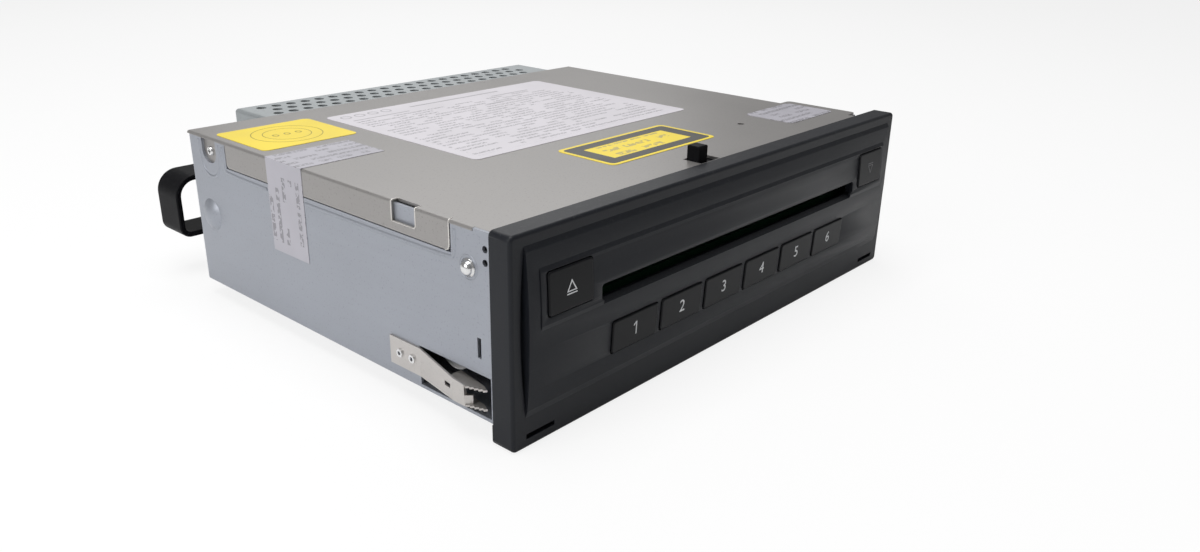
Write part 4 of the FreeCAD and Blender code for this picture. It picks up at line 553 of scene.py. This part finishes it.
def printed(name, paper, ink, row, share, letter, word, rough, strength, area):
    """Label film with fine print inside an area given as x0, y0, x1, y1 in metres."""
    material, tree, shader, place = start_material(name)
    parts = tree.nodes.new("ShaderNodeSeparateXYZ")
    tree.links.new(place, parts.inputs[0])
    spot = tree.nodes.new("ShaderNodeCombineXYZ")
    for axis in ("X", "Y"):
        tree.links.new(parts.outputs[axis], spot.inputs[axis])
    marks = effect(tree, "fine_print", spot.outputs[0], Row=row, Share=share, Letter=letter, Word=word)
    mask = maths(tree, "MULTIPLY", marks.outputs["Mask"], strength)
    left, front, right, back = area
    for axis, low, high in (("X", left, right), ("Y", front, back)):
        mask = maths(tree, "MULTIPLY", mask, maths(tree, "GREATER_THAN", parts.outputs[axis], low))
        mask = maths(tree, "MULTIPLY", mask, maths(tree, "LESS_THAN", parts.outputs[axis], high))
    base = film(tree, shader, place, paper, scale=60.0, dim=0.95, pale=1.03, rough=rough)
    tree.links.new(tint(tree, base, ink, mask), shader.inputs["Base Color"])
    return material


def seal_film(name, paper, ink):
    """Label film that folds over the lid's edge: rows along X on top and down the side wall."""
    s = sizes()
    strength = 0.72
    row = 0.0034
    material, tree, shader, place = start_material(name)
    parts = tree.nodes.new("ShaderNodeSeparateXYZ")
    tree.links.new(place, parts.inputs[0])
    side_low, side_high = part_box("seal_label")
    upper = ("X", side_high.z - s.seal_turn, BEYOND, 1300.0, 190.0)
    lower = ("Z", side_low.z + s.seal_foot, side_high.z - s.seal_head, 800.0, 100.0)
    masks = []
    for along, low, high, letter, word in (upper, lower):
        spot = tree.nodes.new("ShaderNodeCombineXYZ")
        tree.links.new(parts.outputs[along], spot.inputs["X"])
        tree.links.new(parts.outputs["Y"], spot.inputs["Y"])
        marks = effect(tree, "fine_print", spot.outputs[0], Row=row, Share=0.5, Letter=letter, Word=word)
        inside = maths(tree, "MULTIPLY", maths(tree, "GREATER_THAN", parts.outputs["Z"], low),
                       maths(tree, "LESS_THAN", parts.outputs["Z"], high))
        masks.append(maths(tree, "MULTIPLY", marks.outputs["Mask"], inside))
    mask = maths(tree, "MULTIPLY", maths(tree, "MAXIMUM", *masks), strength)
    base = film(tree, shader, place, paper, scale=60.0, dim=0.94, pale=1.05, rough=0.35, spread=0.07)
    tree.links.new(tint(tree, base, ink, mask), shader.inputs["Base Color"])
    return material


def plain_film(name, colour, rough):
    """Film or ink of one colour."""
    material, tree, shader, place = start_material(name)
    base = film(tree, shader, place, colour, scale=70.0, dim=0.95, pale=1.04, rough=rough)
    tree.links.new(base, shader.inputs["Base Color"])
    return material


def white_rows():
    """The part of the white label that holds its rows of marks: x0, y0, x1, y1."""
    s = sizes()
    low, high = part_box("white_label")
    return low.x + s.rows_left, low.y + s.rows_front, high.x - s.rows_right, high.y - s.rows_rear


def finishes():
    """The finish of each material slot."""
    c = colours()
    plastics = {
        "fascia_black": dict(colour=c.fascia, rough=0.38, grain=3400.0, relief=0.00003, dust=0.05,
                             specular=0.21),
        "key_black": dict(colour=c.key, rough=0.34, grain=5200.0, relief=0.00001, dust=0.02,
                          specular=0.16),
        "loop_black": dict(colour=c.loop, rough=0.48, grain=2400.0, relief=0.00003, dust=0.03,
                           specular=0.09),
        "socket_black": dict(colour=c.loop, rough=0.5),
        "dark_plastic": dict(colour=(0.02, 0.02, 0.022), rough=0.5),
        "grey_plastic": dict(colour=(0.20, 0.21, 0.22), rough=0.5),
        "tray_plastic": dict(colour=(0.05, 0.05, 0.055), rough=0.5),
        "white_acetal": dict(colour=(0.74, 0.73, 0.68), rough=0.4, grain=1800.0, relief=0.00001,
                             dust=0.0),
        "switch_grey": dict(colour=(0.3, 0.3, 0.32), rough=0.45),
        "board_green": dict(colour=(0.008, 0.045, 0.018), rough=0.32, grain=1500.0, relief=0.00001,
                            gloss=0.1, coat=0.3),
        "roller_rubber": dict(colour=(0.018, 0.018, 0.018), rough=0.75, grain=1200.0, relief=0.00005,
                              dust=0.15),
    }
    metals = {
        "zinc_steel": dict(colour=c.wall, metallic=0.55, rough=0.40, drift=0.16, streak=0.10,
                           speck=0.16),
        "lid_steel": dict(colour=c.lid, metallic=0.55, rough=0.36, drift=0.10, streak=0.05, speck=0.22),
        "vent_steel": dict(colour=c.vent, metallic=0.5, rough=0.42, drift=0.18, streak=0.08, speck=0.2),
        "spring_steel": dict(colour=c.clip, metallic=0.7, rough=0.30, drift=0.10, streak=0.12,
                             speck=0.12),
        "bright_steel": dict(colour=(0.72, 0.72, 0.72), metallic=0.95, rough=0.2, drift=0.05,
                             streak=0.05, speck=0.05),
        "motor_steel": dict(colour=(0.5, 0.5, 0.5), metallic=0.85, rough=0.3, drift=0.08, streak=0.05,
                            speck=0.08),
        "sled_metal": dict(colour=(0.5, 0.5, 0.52), metallic=0.8, rough=0.45, drift=0.1, streak=0.0,
                           speck=0.2, relief=0.00004),
        "brass_gear": dict(colour=(0.7, 0.5, 0.2), metallic=0.95, rough=0.25, drift=0.05, streak=0.05,
                           speck=0.05),
    }
    made = {name: moulded(name, **look) for name, look in plastics.items()}
    made.update({name: sheet_metal(name, **look) for name, look in metals.items()})
    made["paper_white"] = printed("paper_white", c.paper, c.ink, row=0.0026, share=0.46, letter=1500.0,
                                  word=150.0, rough=0.5, strength=0.62, area=white_rows())
    made["paper_yellow"] = plain_film("paper_yellow", c.yellow, rough=0.42)
    made["paper_seal"] = seal_film("paper_seal", c.seal, c.ink)
    return made


# ---- mesh helpers ----

def piece(name, mesh_maker, material, body=BOX, smooth=False):
    """A new mesh piece in the row frame that rides on a body."""
    mesh = bpy.data.meshes.new(name)
    work = bmesh.new()
    mesh_maker(work)
    bmesh.ops.recalc_face_normals(work, faces=work.faces)
    work.to_mesh(mesh)
    work.free()
    for face in mesh.polygons:
        face.use_smooth = smooth
    thing = bpy.data.objects.new(name, mesh)
    bpy.context.scene.collection.objects.link(thing)
    mesh.materials.append(material)
    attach(thing, body)
    return thing


def prism(work, outer, thick, place, inner=None):
    """A closed flat plate from an outline, with an optional hole; place maps x, y, height to a point."""
    rings = [outer] + ([inner] if inner else [])
    low = []
    high = []
    for ring in rings:
        low.append([work.verts.new(place(x, y, 0.0)) for x, y in ring])
        high.append([work.verts.new(place(x, y, thick)) for x, y in ring])
    for bottom, top in zip(low, high):
        n = len(bottom)
        for k in range(n):
            work.faces.new((bottom[k], bottom[(k + 1) % n], top[(k + 1) % n], top[k]))
    for layer in (low, high):
        if inner:
            edges = []
            for ring in layer:
                n = len(ring)
                edges += [work.edges.get((ring[k], ring[(k + 1) % n])) for k in range(n)]
            bmesh.ops.triangle_fill(work, use_beauty=True, use_dissolve=False, edges=edges)
        else:
            work.faces.new(layer[0])


def rounded_outline(x0, y0, x1, y1, radius):
    """Corner points of a rounded rectangle, anticlockwise."""
    points = []
    corners = ((x1 - radius, y0 + radius, -90), (x1 - radius, y1 - radius, 0),
               (x0 + radius, y1 - radius, 90), (x0 + radius, y0 + radius, 180))
    for x, y, begin in corners:
        for k in range(CORNER_STEPS + 1):
            a = math.radians(begin + 90.0 * k / CORNER_STEPS)
            points.append((x + radius * math.cos(a), y + radius * math.sin(a)))
    return points


def oval(x, y, across, along, steps=OVAL_STEPS):
    """Corner points of an oval, anticlockwise."""
    turns = [2 * math.pi * k / steps for k in range(steps)]
    return [(x + across * math.cos(a), y + along * math.sin(a)) for a in turns]


def turned_profile(work, profile, centre, axis, steps):
    """A solid of revolution; profile is radius and height from the base, ending on the axis."""
    turn = Vector((0, 0, 1)).rotation_difference(Vector(axis)).to_matrix()
    middle = Vector(centre)
    rings = []
    for radius, height in profile:
        points = oval(0, 0, radius, radius, steps) if radius > 0 else [(0, 0)]
        rings.append([work.verts.new(middle + turn @ Vector((x, y, height))) for x, y in points])
    for first, second in zip(rings, rings[1:]):
        if len(first) == 1 and len(second) == 1:
            continue
        for k in range(steps):
            a = first[k % len(first)]
            b = first[(k + 1) % len(first)]
            c = second[(k + 1) % len(second)]
            d = second[k % len(second)]
            work.faces.new([v for i, v in enumerate((a, b, c, d)) if v not in (a, b, c, d)[:i]])


def soften_edges(thing, width):
    """Weld the solid's faces and round its sharp edges."""
    weld = thing.modifiers.new("weld", "WELD")
    weld.merge_threshold = WELD_GAP
    soft = thing.modifiers.new("soft_edges", "BEVEL")
    soft.width = width
    soft.segments = EDGE_STEPS
    soft.limit_method = "ANGLE"
    soft.angle_limit = math.radians(EDGE_ANGLE)
    soft.harden_normals = True


# ---- places on CAD faces ----

class Face:
    """Finds where a straight line meets a node's faces, in the row frame."""

    def __init__(self, node):
        thing = frame["nodes"][node]
        points = [thing.matrix_world @ v.co for v in thing.data.vertices]
        self.tree = BVHTree.FromPolygons(points, [tuple(f.vertices) for f in thing.data.polygons])

    def front(self, x, z):
        """The Y of the frontmost face at x, z."""
        ahead = Vector((x, cad_box[0].y * 2, z))
        hit = self.tree.ray_cast(ahead, Vector((0, 1, 0)))[0]
        if hit is None:
            raise RuntimeError("nothing faces the front at %.4f, %.4f" % (x, z))
        return hit.y


def on_front(face, x0, z0, proud):
    """Places a flat drawing on a crowned front, centred at x0, z0."""
    def place(x, z, height):
        level = face.front(x0 + x, z0 + z)
        return (x0 + x, level - proud if height > 0 else level + proud, z0 + z)
    return place


# ---- operators ----

class CHANGER_OT_finishes(bpy.types.Operator):
    """Give every CAD node the finish of its slot and soften the moulded edges"""
    bl_idname = "changer.finishes"
    bl_label = "Finishes"

    def execute(self, context):
        made = finishes()
        for entry in frame["record"]["subparts"]:
            thing = frame["nodes"][entry["node"]]
            thing.data.materials.clear()
            thing.data.materials.append(made[entry["material_slot"]])
        for node in ("bezel", "rear_socket"):
            soften_edges(frame["nodes"][node], sizes().soft_edge)
        return {"FINISHED"}


def numeral_one(height, line):
    """Filled mesh of a one: an upright stem with a short flag."""
    half = height / 2
    work = bmesh.new()
    stem = [(0.0, -half), (line, -half), (line, half), (0.0, half)]
    flag = [(0.0, half), (-line * FLAG_REACH, half - line * FLAG_TOP),
            (-line * FLAG_REACH, half - line * FLAG_FOOT), (0.0, half - line * FLAG_ROOT)]
    for outline in (stem, flag):
        work.faces.new([work.verts.new((x, y, 0.0)) for x, y in outline])
    mesh = bpy.data.meshes.new("numeral")
    work.to_mesh(mesh)
    work.free()
    return mesh


def numeral_outline(digit, height):
    """Filled mesh of a plain numeral, centred, from Blender's own letter shapes."""
    curve = bpy.data.curves.new("numeral", "FONT")
    curve.body = str(digit)
    curve.size = height / NUMERAL_SHARE
    curve.align_x = "CENTER"
    curve.align_y = "CENTER"
    curve.resolution_u = LETTER_STEPS
    holder = bpy.data.objects.new("numeral", curve)
    bpy.context.scene.collection.objects.link(holder)
    mesh = bpy.data.meshes.new_from_object(holder)
    bpy.data.objects.remove(holder)
    bpy.data.curves.remove(curve)
    low = [min(v.co[k] for v in mesh.vertices) for k in (0, 1)]
    high = [max(v.co[k] for v in mesh.vertices) for k in (0, 1)]
    middle = Vector(((low[0] + high[0]) / 2, (low[1] + high[1]) / 2, 0))
    for v in mesh.vertices:
        v.co -= middle
    return mesh


class CHANGER_OT_key_marks(bpy.types.Operator):
    """Print the numerals and the eject and load signs on the keys"""
    bl_idname = "changer.key_marks"
    bl_label = "Key marks"

    def execute(self, context):
        s = sizes()
        light = plain_film("mark_ink", colours().mark, rough=0.5)
        faint = plain_film("faint_ink", colours().faint_mark, rough=0.5)
        for digit in range(1, DISCS + 1):
            node = "disc_button_%d" % digit
            low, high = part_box(node)
            if digit == 1:
                flat = numeral_one(s.numeral_height, s.numeral_line)
            else:
                flat = numeral_outline(digit, s.numeral_height)
            place = on_front(Face(node), (low.x + high.x) / 2, (low.z + high.z) / 2 + s.numeral_lift,
                             s.mark_proud)

            def numeral(work, flat=flat, place=place):
                work.from_mesh(flat)
                bmesh.ops.subdivide_edges(work, edges=work.edges[:], cuts=1)
                faces = work.faces[:]
                swept = bmesh.ops.extrude_face_region(work, geom=faces)["geom"]
                top = {v for v in swept if isinstance(v, bmesh.types.BMVert)}
                for v in work.verts:
                    v.co = place(v.co.x, v.co.y, 1.0 if v in top else 0.0)

            piece("numeral_%d" % digit, numeral, light, node + "_cap")
        for node, ink, upright in (("eject_button", light, 1), ("load_button", faint, -1)):
            low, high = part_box(node)
            place = on_front(Face(node), (low.x + high.x) / 2, (low.z + high.z) / 2, s.mark_proud)
            half = s.sign_width / 2
            line = s.sign_line

            def sign(work, place=place, upright=upright, half=half, line=line):
                top = half * SIGN_TOP
                foot = -half * SIGN_FOOT
                outer = [(-half, upright * foot), (half, upright * foot), (0.0, upright * top)]
                inward = line * SIGN_CORNER
                sill = upright * (foot + line)
                inner = [(-half + inward, sill), (half - inward, sill),
                         (0.0, upright * (top - line * SIGN_POINT))]
                prism(work, outer, 1.0, place, inner)
                far = upright * (foot - line * BAR_FAR)
                near = upright * (foot - line * BAR_NEAR)
                prism(work, [(-half, far), (half, far), (half, near), (-half, near)], 1.0, place)

            piece(node.replace("button", "sign"), sign, ink, node + "_cap")
        return {"FINISHED"}


class CHANGER_OT_labels(bpy.types.Operator):
    """Add the printed frame, rings and bars that lie on the labels"""
    bl_idname = "changer.labels"
    bl_label = "Labels"

    def execute(self, context):
        c = colours()
        s = sizes()
        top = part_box("caution_label")[1].z

        def on_lid(x, y, height):
            return (x, y, top - PRINT_SINK + (s.print_proud + PRINT_SINK if height > 0 else 0.0))

        def ring(work, x, y, outer, inner, steps=OVAL_STEPS):
            prism(work, oval(x, y, *outer, steps), 1.0, on_lid, oval(x, y, *inner, steps))

        dark = plain_film("frame_ink", c.frame_ink, rough=0.45)
        low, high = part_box("caution_label")
        field = (low.x + s.field_across, low.y + s.field_along,
                 high.x - s.field_across, high.y - s.field_along)
        rows = printed("caution_print", c.yellow, c.ink, row=0.0046, share=0.5, letter=620.0, word=90.0,
                       rough=0.42, strength=0.55, area=field)
        frame["nodes"]["caution_label"].data.materials[0] = rows

        def caution_frame(work):
            outer = rounded_outline(low.x + s.frame_rim, low.y + s.frame_rim, high.x - s.frame_rim,
                                    high.y - s.frame_rim, s.frame_round)
            inner = rounded_outline(low.x + s.frame_across, low.y + s.frame_along,
                                    high.x - s.frame_across, high.y - s.frame_along, s.frame_inner)
            prism(work, outer, 1.0, on_lid, inner)

        piece("caution_frame", caution_frame, dark)
        ring_ink = plain_film("ring_ink", c.ring_ink, rough=0.5)
        low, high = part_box("stamp_label")
        mid = (low + high) / 2

        def stamp_rings(work):
            for radius in (s.ring_outer, s.ring_inner):
                hollow = radius - s.ring_width
                ring(work, mid.x, mid.y, (radius, radius), (hollow, hollow))
            for place in (-1, 0, 1):
                ring(work, mid.x + place * s.link_pitch, mid.y, (s.link_across, s.link_along),
                     (s.link_hole_across, s.link_hole_along), STAMP_STEPS)

        piece("stamp_rings", stamp_rings, ring_ink)
        grey = plain_film("print_grey", c.print_grey, rough=0.5)
        low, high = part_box("white_label")

        def label_marks(work):
            for k in range(MARKS):
                ring(work, low.x + s.mark_first + k * s.mark_pitch, high.y - s.mark_down,
                     (s.mark_radius, s.mark_radius), (s.mark_hollow, s.mark_hollow), MARK_STEPS)
            for x, y, wide, tall in BARS:
                left = low.x + x
                rear = high.y - y
                right = left + wide
                fore = rear - tall
                prism(work, [(left, fore), (right, fore), (right, rear), (left, rear)], 1.0, on_lid)

        piece("label_marks", label_marks, grey)
        return {"FINISHED"}


def parts_of(node):
    """The box of each separate solid of a node, in the row frame."""
    thing = frame["nodes"][node]
    work = bmesh.new()
    work.from_mesh(thing.data)
    work.transform(thing.matrix_world)
    bmesh.ops.remove_doubles(work, verts=work.verts, dist=WELD_GAP)
    left = set(work.verts)
    boxes = []
    while left:
        queue = [left.pop()]
        group = list(queue)
        while queue:
            for edge in queue.pop().link_edges:
                for v in edge.verts:
                    if v in left:
                        left.remove(v)
                        queue.append(v)
                        group.append(v)
        low = Vector([min(v.co[k] for v in group) for k in range(3)])
        high = Vector([max(v.co[k] for v in group) for k in range(3)])
        boxes.append((low, high))
    work.free()
    return sorted(boxes, key=lambda box: tuple(box[0]))


def cross_outline(reach, arm):
    """A plus sign's corner points, anticlockwise."""
    return [(reach, -arm), (reach, arm), (arm, arm), (arm, reach), (-arm, reach), (-arm, arm),
            (-reach, arm), (-reach, -arm), (-arm, -arm), (-arm, -reach), (arm, -reach), (arm, -arm)]


def cross_screw(work, low, high, axis):
    """A round-headed screw with a cross recess that fills the box; axis points out of the head."""
    s = sizes()
    axis = Vector(axis)
    middle = (low + high) / 2
    span = high - low
    reach = abs(span.dot(axis))
    tip = middle - axis * reach / 2
    across = max(abs(span.dot(Vector(axis.yzx))), abs(span.dot(Vector(axis.zxy))))
    radius = min(s.screw_head, across / 2)
    shank = radius * SHANK_WIDE
    seat = reach - s.screw_tall
    rim = seat + s.screw_tall * RIM_HIGH
    turned_profile(work, [(0.0, 0.0), (shank, 0.0), (shank, seat), (radius, seat), (radius, rim),
                          (0.0, rim)], tip, axis, SCREW_STEPS)
    turn = Vector((0, 0, 1)).rotation_difference(axis).to_matrix()
    base = tip + axis * (seat + s.screw_tall * CROWN_SEAT)

    def place(x, y, height):
        shrink = 1.0 - CROWN_TAPER * height * (math.hypot(x, y) > s.screw_cross * TAPER_FROM)
        return base + turn @ Vector((x * shrink, y * shrink, height * s.screw_tall * CROWN_HIGH))

    prism(work, oval(0, 0, radius * CROWN_WIDE, radius * CROWN_WIDE, SCREW_STEPS), 1.0, place,
          cross_outline(s.screw_cross, s.screw_cross * CROSS_ARM))


def bead(name, paths, radius, material, order=3):
    """A round bead along each path of points; only the part outside its sheet shows."""
    curve = bpy.data.curves.new(name, "CURVE")
    curve.dimensions = "3D"
    curve.bevel_depth = radius
    curve.bevel_resolution = BEAD_ROUND
    curve.use_fill_caps = True
    for points, closed in paths:
        line = curve.splines.new("NURBS")
        line.points.add(len(points) - 1)
        for spot, point in zip(line.points, points):
            spot.co = (*point, 1.0)
        line.use_cyclic_u = closed
        line.use_endpoint_u = not closed
        line.order_u = order
        line.resolution_u = BEAD_STEPS
    thing = bpy.data.objects.new(name, curve)
    bpy.context.scene.collection.objects.link(thing)
    curve.materials.append(material)
    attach(thing, BOX)
    return thing


class CHANGER_OT_pressings(bpy.types.Operator):
    """Add the side wall's pressed ridges, the lid's rounded edges with a painted highlight and the
    clips' inner flanges
    """
    bl_idname = "changer.pressings"
    bl_label = "Pressings"

    def execute(self, context):
        s = sizes()
        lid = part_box("top_cover")
        wall = lid[0].x
        roof = lid[1].z
        rear = lid[1].y
        hem = roof - s.flange_high
        zinc = frame["nodes"]["chassis_frame"].data.materials[0]
        deep = wall + s.ridge_radius - s.ridge_proud
        paths = [(path, False) for path in self.ridges(s, deep, roof, hem)]
        paths.append((self.cup(s, deep, roof, rear - s.corner_back), False))
        bead("wall_ridges", paths, s.ridge_radius, zinc)
        pin_low, pin_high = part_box("side_pins")
        y = (pin_low.y + pin_high.y) / 2
        z = (pin_low.z + pin_high.z) / 2
        around = oval(y, z, s.pin_ring, s.pin_ring, RING_POINTS)
        ring = [(wall + s.ring_line / 2, *point) for point in around]
        bead("pin_ring", [(ring, True)], s.ring_line, zinc)
        # Painted highlight: the lid's edge beads get this bright colour for the light that their rounded
        # rims catch.
        bright = sheet_metal("cut_edge", colours().cut_edge, metallic=0.8, rough=0.28, drift=0.10,
                             streak=0.25, speck=0.1)
        inward = wall + s.notch_in
        edge = wall + s.edge_line * EDGE_SIDE
        top = roof - s.edge_line * EDGE_TOP
        down = roof - s.notch_deep
        notch = [(inward, s.notch_rear - s.notch_turn, top), (inward, s.notch_rear, top),
                 (edge, s.notch_rear, top), (edge, s.notch_rear, down),
                 (edge, s.notch_rear - s.notch_turn, down), (edge, s.notch_front, down),
                 (edge, s.notch_front, top), (inward, s.notch_front, top)]
        front_end = [(edge + s.edge_turn, s.flange_front, top), (edge, s.flange_front, top),
                     (edge, s.flange_front, hem + s.hem_rise),
                     (edge, s.flange_front + s.hem_near, hem + s.hem_low),
                     (edge, s.flange_front + s.hem_reach, hem)]
        bead("lid_edges", [(notch, False), (front_end, False)], s.edge_line, bright, 2)
        self.clip_flanges(s)
        return {"FINISHED"}

    def ridges(self, s, deep, roof, hem):
        """Two paths round the lid's flange, behind the seal and before it."""
        fore = s.flange_front - s.ridge_gap
        aft = s.flange_rear + s.ridge_gap
        low = hem - s.ridge_gap
        bend = s.ridge_bend
        end = roof - s.ridge_roof
        seal_low, seal_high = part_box("seal_label")
        behind = [(deep, aft, end), (deep, aft, low + bend), (deep, aft - bend, low),
                  (deep, seal_high.y + s.ridge_radius, low)]
        before = [(deep, seal_low.y - s.ridge_radius, low), (deep, fore + bend, low),
                  (deep, fore, low + bend), (deep, fore, end)]
        return behind, before

    def cup(self, s, deep, roof, mid):
        """The path round the corner slot."""
        half = s.corner_half
        lowest = roof - s.corner_deep
        end = roof - s.corner_roof
        return [(deep, mid + half, end), (deep, mid + half * CUP_WALL, lowest + half),
                (deep, mid + half * CUP_SHOULDER, lowest), (deep, mid, lowest - half * CUP_SAG),
                (deep, mid - half * CUP_SHOULDER, lowest), (deep, mid - half * CUP_WALL, lowest + half),
                (deep, mid - half, end)]

    def clip_flanges(self, s):
        """The two inner flanges of each spring clip."""
        clip = frame["nodes"]["left_clip_arm"].data.materials[0]
        for side, out in (("left", -1), ("right", 1)):
            low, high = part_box(side + "_clip_arm")
            face = high.x if out < 0 else low.x
            crest = high.z - s.clip_drop

            def flanges(work):
                outer = face + out * s.flange_lap
                end = low.y + s.flange_long
                edge = [(outer, low.y), (face - out * s.flange_fore, low.y + s.flange_nose),
                        (face - out * s.flange_aft, end), (outer, end)]
                for base in (low.z, crest - s.leaf):
                    prism(work, edge, s.leaf, lambda x, y, height, base=base: (x, y, base + height))

            piece(side + "_clip_flanges", flanges, clip, side + "_clip")


class CHANGER_OT_hardware(bpy.types.Operator):
    """Give the screws a cross recess and the side pins a round head"""
    bl_idname = "changer.hardware"
    bl_label = "Hardware"

    def execute(self, context):
        bright = frame["nodes"]["small_screws"].data.materials[0]
        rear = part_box("chassis_frame")[1].y / 2

        def screws(work):
            for low, high in parts_of("small_screws"):
                if low.y > rear:
                    axis = (-1, 0, 0) if low.x < 0 else (1, 0, 0)
                else:
                    axis = (0, 1, 0)
                cross_screw(work, low, high, axis)

        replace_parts(piece("cross_screws", screws, bright), "small_screws")
        tall = sizes().pin_tall
        low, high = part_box("side_pins")
        radius = (high.z - low.z) / 2

        def pins(work):
            profile = [(0.0, 0.0), (radius, 0.0), (radius, tall * PIN_RIM),
                       (radius * PIN_WAIST_WIDE, tall * PIN_WAIST)]
            for k in range(DOME_STEPS):
                a = math.pi / 2 * k / DOME_STEPS
                rise = PIN_DOME + (1.0 - PIN_DOME) * math.sin(a)
                profile.append((radius * PIN_DOME_WIDE * math.cos(a), tall * rise))
            profile.append((0.0, tall))
            for x, axis in ((low.x + tall, (-1, 0, 0)), (high.x - tall, (1, 0, 0))):
                centre = (x, (low.y + high.y) / 2, (low.z + high.z) / 2)
                turned_profile(work, profile, centre, axis, PIN_STEPS)

        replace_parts(piece("round_pins", pins, bright, smooth=True), "side_pins")
        return {"FINISHED"}


class CHANGER_OT_stage(bpy.types.Operator):
    """Floor, lamps, world and the camera"""
    bl_idname = "changer.stage"
    bl_label = "Stage"

    def execute(self, context):
        scene = context.scene
        scene.view_settings.view_transform = "Standard"
        self.camera(scene)
        self.floor(scene)
        self.world(scene)
        for name, place, size, power in LAMPS:
            self.lamp(scene, name, place, size, power)
        return {"FINISHED"}

    def camera(self, scene):
        """The camera, level with the horizon apart from its small roll."""
        data = bpy.data.cameras.new("camera")
        camera = bpy.data.objects.new("camera", data)
        scene.collection.objects.link(camera)
        data.sensor_width = SENSOR
        data.lens = SENSOR * FOCAL_SHARE
        data.clip_start = CLIP_NEAR
        data.clip_end = CLIP_FAR
        azimuth = math.radians(CAMERA_AZIMUTH)
        fall = math.radians(CAMERA_FALL)
        roll = math.radians(CAMERA_ROLL)
        level = math.cos(fall)
        ahead = Vector((math.sin(azimuth) * level, math.cos(azimuth) * level, -math.sin(fall)))
        right = ahead.cross(Vector((0, 0, 1))).normalized()
        up = right.cross(ahead)
        across = right * math.cos(roll) + up * math.sin(roll)
        upright = up * math.cos(roll) - right * math.sin(roll)
        turn = Matrix((across, upright, -ahead)).transposed()
        camera.matrix_world = Matrix.Translation(CAMERA_PLACE) @ turn.to_4x4()
        scene.camera = camera

    def floor(self, scene):
        """A pale floor that glows for the camera and keeps the object's shadow."""
        mesh = bpy.data.meshes.new("floor")
        work = bmesh.new()
        bmesh.ops.create_grid(work, x_segments=1, y_segments=1, size=FLOOR_REACH)
        work.to_mesh(mesh)
        work.free()
        floor = bpy.data.objects.new("floor", mesh)
        floor.location.z = cad_box[0].z - FLOOR_GAP
        scene.collection.objects.link(floor)
        material = bpy.data.materials.new("floor")
        material.use_nodes = True
        tree = material.node_tree
        shader = tree.nodes["Principled BSDF"]
        shader.inputs["Base Color"].default_value = (FLOOR_PALE, FLOOR_PALE, FLOOR_PALE, 1.0)
        shader.inputs["Roughness"].default_value = FLOOR_ROUGH
        shader.inputs["Specular IOR Level"].default_value = FLOOR_SPECULAR
        glow = tree.nodes.new("ShaderNodeEmission")
        path = tree.nodes.new("ShaderNodeLightPath")
        mix = tree.nodes.new("ShaderNodeMixShader")
        share = maths(tree, "MULTIPLY", path.outputs["Is Camera Ray"], FLOOR_GLOW)
        tree.links.new(share, mix.inputs[0])
        tree.links.new(shader.outputs[0], mix.inputs[1])
        tree.links.new(glow.outputs[0], mix.inputs[2])
        tree.links.new(mix.outputs[0], tree.nodes["Material Output"].inputs["Surface"])
        mesh.materials.append(material)

    def world(self, scene):
        """A white background and a soft fill."""
        world = bpy.data.worlds.new("studio")
        world.use_nodes = True
        scene.world = world
        tree = world.node_tree
        background = tree.nodes["Background"]
        background.inputs["Color"].default_value = (1.0, 1.0, 1.0, 1.0)
        path = tree.nodes.new("ShaderNodeLightPath")
        plain = maths(tree, "MAXIMUM", path.outputs["Is Camera Ray"],
                      path.outputs["Is Transmission Ray"])
        strength = maths(tree, "MAXIMUM", plain, WORLD_FILL)
        tree.links.new(strength, background.inputs["Strength"])

    def lamp(self, scene, name, place, size, power):
        """A square lamp that aims at the object."""
        data = bpy.data.lights.new(name, "AREA")
        data.shape = "SQUARE"
        data.size = size
        data.energy = power
        lamp = bpy.data.objects.new(name, data)
        lamp.location = place
        aim = Vector(LAMP_AIM) - Vector(place)
        lamp.rotation_euler = aim.to_track_quat("-Z", "Y").to_euler()
        scene.collection.objects.link(lamp)


STEPS = [CHANGER_OT_finishes, CHANGER_OT_key_marks, CHANGER_OT_labels, CHANGER_OT_pressings,
         CHANGER_OT_hardware, CHANGER_OT_stage]


class CHANGER_PT_panel(bpy.types.Panel):
    """The changer's sizes, colours and steps"""
    bl_idname = "CHANGER_PT_panel"
    bl_label = "Disc changer"
    bl_space_type = "VIEW_3D"
    bl_region_type = "UI"
    bl_category = "Disc changer"

    def draw(self, context):
        for group in (context.scene.changer_sizes, context.scene.changer_colours):
            for word in group.__annotations__:
                self.layout.prop(group, word)
        for step in STEPS:
            self.layout.operator(step.bl_idname)


CLASSES = [ChangerSizes, ChangerColours] + STEPS + [CHANGER_PT_panel]


def register():
    for kind in CLASSES:
        bpy.utils.register_class(kind)
    bpy.types.Scene.changer_sizes = PointerProperty(type=ChangerSizes)
    bpy.types.Scene.changer_colours = PointerProperty(type=ChangerColours)


def unregister():
    del bpy.types.Scene.changer_sizes
    del bpy.types.Scene.changer_colours
    for kind in reversed(CLASSES):
        bpy.utils.unregister_class(kind)


def main():
    register()
    for step in STEPS:
        family, word = step.bl_idname.split(".")
        getattr(getattr(bpy.ops, family), word)()


if __name__ == "__main__":
    main()
